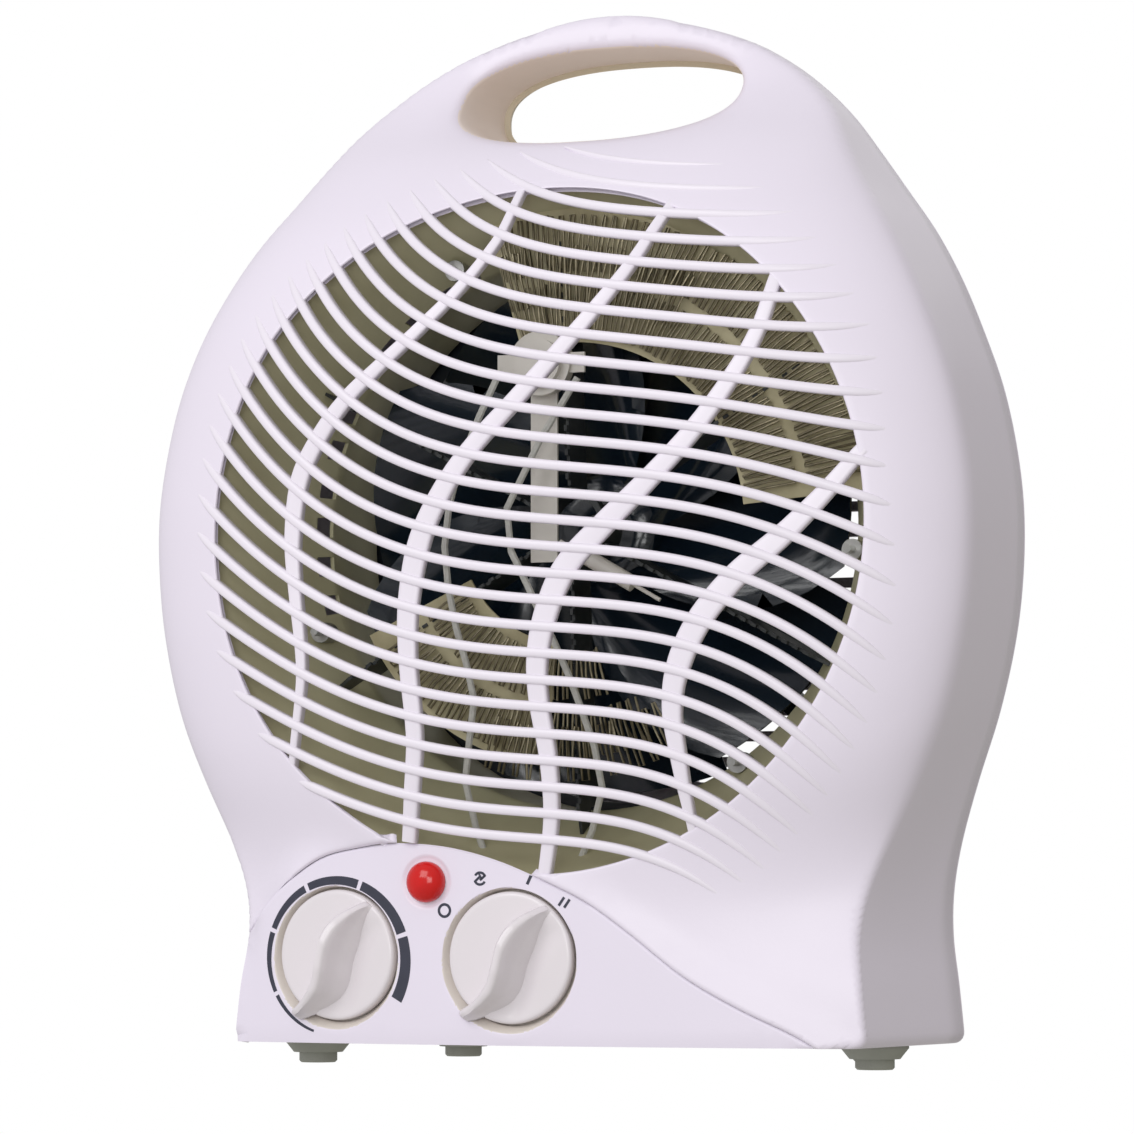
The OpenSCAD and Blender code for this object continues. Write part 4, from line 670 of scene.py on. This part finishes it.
def impeller():
    parts = [lathe([(0.01, -6), (9, -6), (12.5, -5.6), (14.4, -4.4), (15, -2.5), (15, 13.5), (12.8, 13.5), (12.8, 3), (4.5, 3), (4.5, 10), (2.05, 10), (2.05, -5.0)], 64, c=(0, ZF))]
    for b in range(7):
        V = []; nr, nc = 15, 13
        for side in (0, 1):
            for i in range(nr):
                t = i/(nr-1); r = 13.5+(65.5-13.5)*t; pitch = math.radians(40-18*t); chord = 18+42*math.sin(math.pi*(0.12+0.50*t)); swp = math.radians(b*360/7+14*t*t)
                for j in range(nc):
                    q = j/(nc-1); s = (q-0.5)*chord; camb = 3.2*(1-(2*q-1)**2)*(0.5+0.5*t)
                    y = 4+s*math.sin(pitch)-camb*math.cos(pitch)+(0.7 if side else -0.7)*(math.sin(math.pi*min(max(q, 0.02), 0.98))**0.5)
                    y = max(min(y, 15.8), -7.8); ang = swp+s*math.cos(pitch)/r
                    V.append((r*math.cos(ang), y, ZF+r*math.sin(ang)))
        F = grid_faces(nc, nr, closed=False)+[f[::-1] for f in grid_faces(nc, nr, closed=False, off=nr*nc)]
        o1 = nr*nc
        for i in range(nr-1): F += [(i*nc, (i+1)*nc, (i+1)*nc+o1, i*nc+o1), (i*nc+nc-1, i*nc+nc-1+o1, (i+1)*nc+nc-1+o1, (i+1)*nc+nc-1)]
        for j in range(nc-1): F += [(j, j+o1, j+1+o1, j+1), ((nr-1)*nc+j, (nr-1)*nc+j+1, (nr-1)*nc+j+1+o1, (nr-1)*nc+j+o1)]
        parts.append((np.array(V), F))
    return join(parts, "i")
V, F = impeller(); o = obj("impeller_skin", V, F, M["fan"], "fan", smooth=False, reps=("fan_impeller",), slot="dark_plastic"); weld(o, 0.001); shade(o, 40); put(o)

# ------------------------------------------------------------------ CAD nodes that stay, with their own finish
KEEP = {"front_feet": "foot", "rear_feet": "foot", "foot_screws": "steel", "housing_screws": "steel", "panel_screws": "steel", "thermostat_spindle": "steel", "switch_spindle": "steel",
 "thermostat_body": "bakelite", "thermostat_bimetal": "brass", "switch_body": "ceramic", "switch_tabs": "brass", "control_screws": "steel", "neon_lamp": "glow", "element_terminals": "steel",
 "thermal_cutout": "ceramic", "thermal_fuse": "ceramic", "element_leads": "sleeve", "motor_mount": "dark", "mount_screws": "steel", "impeller_clip": "steel", "motor_shaft": "steel", "motor_rotor": "lam",
 "motor_stator": "lam", "motor_winding": "copper", "front_bracket": "steel", "rear_bracket": "steel", "motor_bearings": "brass", "motor_screws": "steel", "terminal_block": "ceramic",
 "terminal_screws": "brass", "cord_inlet": "dark", "cord_clamp": "ceramic", "clamp_screws": "steel"}
for n, m in KEEP.items():
    if n in frame["nodes"]:
        me = frame["nodes"][n].data; me.materials.clear(); me.materials.append(M[m])

for o in PIECES:
    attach(o, o["_b"])
    r = o.get("_r")
    if r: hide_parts(*list(r))

# ------------------------------------------------------------------ stage, light, camera
w = bpy.data.worlds.new("studio"); sc.world = w; w.use_nodes = True
WN, WL = w.node_tree.nodes, w.node_tree.links; bgn = WN["Background"]; out = WN["World Output"]
tc = WN.new("ShaderNodeTexCoord"); dot = WN.new("ShaderNodeVectorMath"); dot.operation = "DOT_PRODUCT"; dot.inputs[1].default_value = (-0.62, -0.28, 0.73)
rp = WN.new("ShaderNodeValToRGB"); mr = WN.new("ShaderNodeMapRange"); mr.inputs["From Min"].default_value = -1.0
rp.color_ramp.elements[0].position = 0.05; rp.color_ramp.elements[0].color = (0.46, 0.45, 0.40, 1); rp.color_ramp.elements[1].position = 0.75; rp.color_ramp.elements[1].color = (0.80, 0.79, 0.80, 1)
WL.new(tc.outputs["Generated"], dot.inputs[0]); WL.new(dot.outputs["Value"], mr.inputs["Value"]); WL.new(mr.outputs["Result"], rp.inputs["Fac"]); WL.new(rp.outputs["Color"], bgn.inputs["Color"])
bgn.inputs["Strength"].default_value = 0.80
bg2 = WN.new("ShaderNodeBackground"); bg2.inputs["Color"].default_value = (1, 1, 1, 1); bg2.inputs["Strength"].default_value = 1.0; lp = WN.new("ShaderNodeLightPath"); mx = WN.new("ShaderNodeMixShader")
WL.new(lp.outputs["Is Camera Ray"], mx.inputs["Fac"]); WL.new(bgn.outputs[0], mx.inputs[1]); WL.new(bg2.outputs[0], mx.inputs[2]); WL.new(mx.outputs[0], out.inputs["Surface"])
def area(name, loc, target, size, power, color=(1, 1, 1)):
    l = bpy.data.lights.new(name, "AREA"); l.energy = power; l.size = size; l.color = color; o = bpy.data.objects.new(name, l); sc.collection.objects.link(o)
    o.location = loc; o.rotation_euler = (Vector(target)-Vector(loc)).to_track_quat("-Z", "Y").to_euler(); return o
area("key", (-0.35, -1.15, 0.75), (0, 0, 0.13), 0.7, 5.6)
area("front", (0.25, -1.3, 0.25), (0, 0, 0.13), 0.5, 3.6)
area("back", (0.2, 1.0, 0.9), (0, 0, 0.15), 0.8, 1.0)
sc.view_settings.view_transform = "Standard"; sc.view_settings.look = "None"; sc.view_settings.exposure = 0.0; sc.view_settings.gamma = 1.0
cam = bpy.data.cameras.new("camera"); co = bpy.data.objects.new("camera", cam); sc.collection.objects.link(co)
tgt = Vector((-0.015934, 0.0134, 0.125791)); az, el, D = math.radians(21), math.radians(-4), 1.2
loc = tgt+Vector((math.sin(az)*math.cos(el), -math.cos(az)*math.cos(el), math.sin(el)))*D
co.location = loc; co.rotation_euler = (tgt-loc).to_track_quat("-Z", "Y").to_euler(); cam.lens = 149.03; cam.sensor_width = 36.0; cam.clip_start = 0.05; cam.clip_end = 50
sc.camera = co
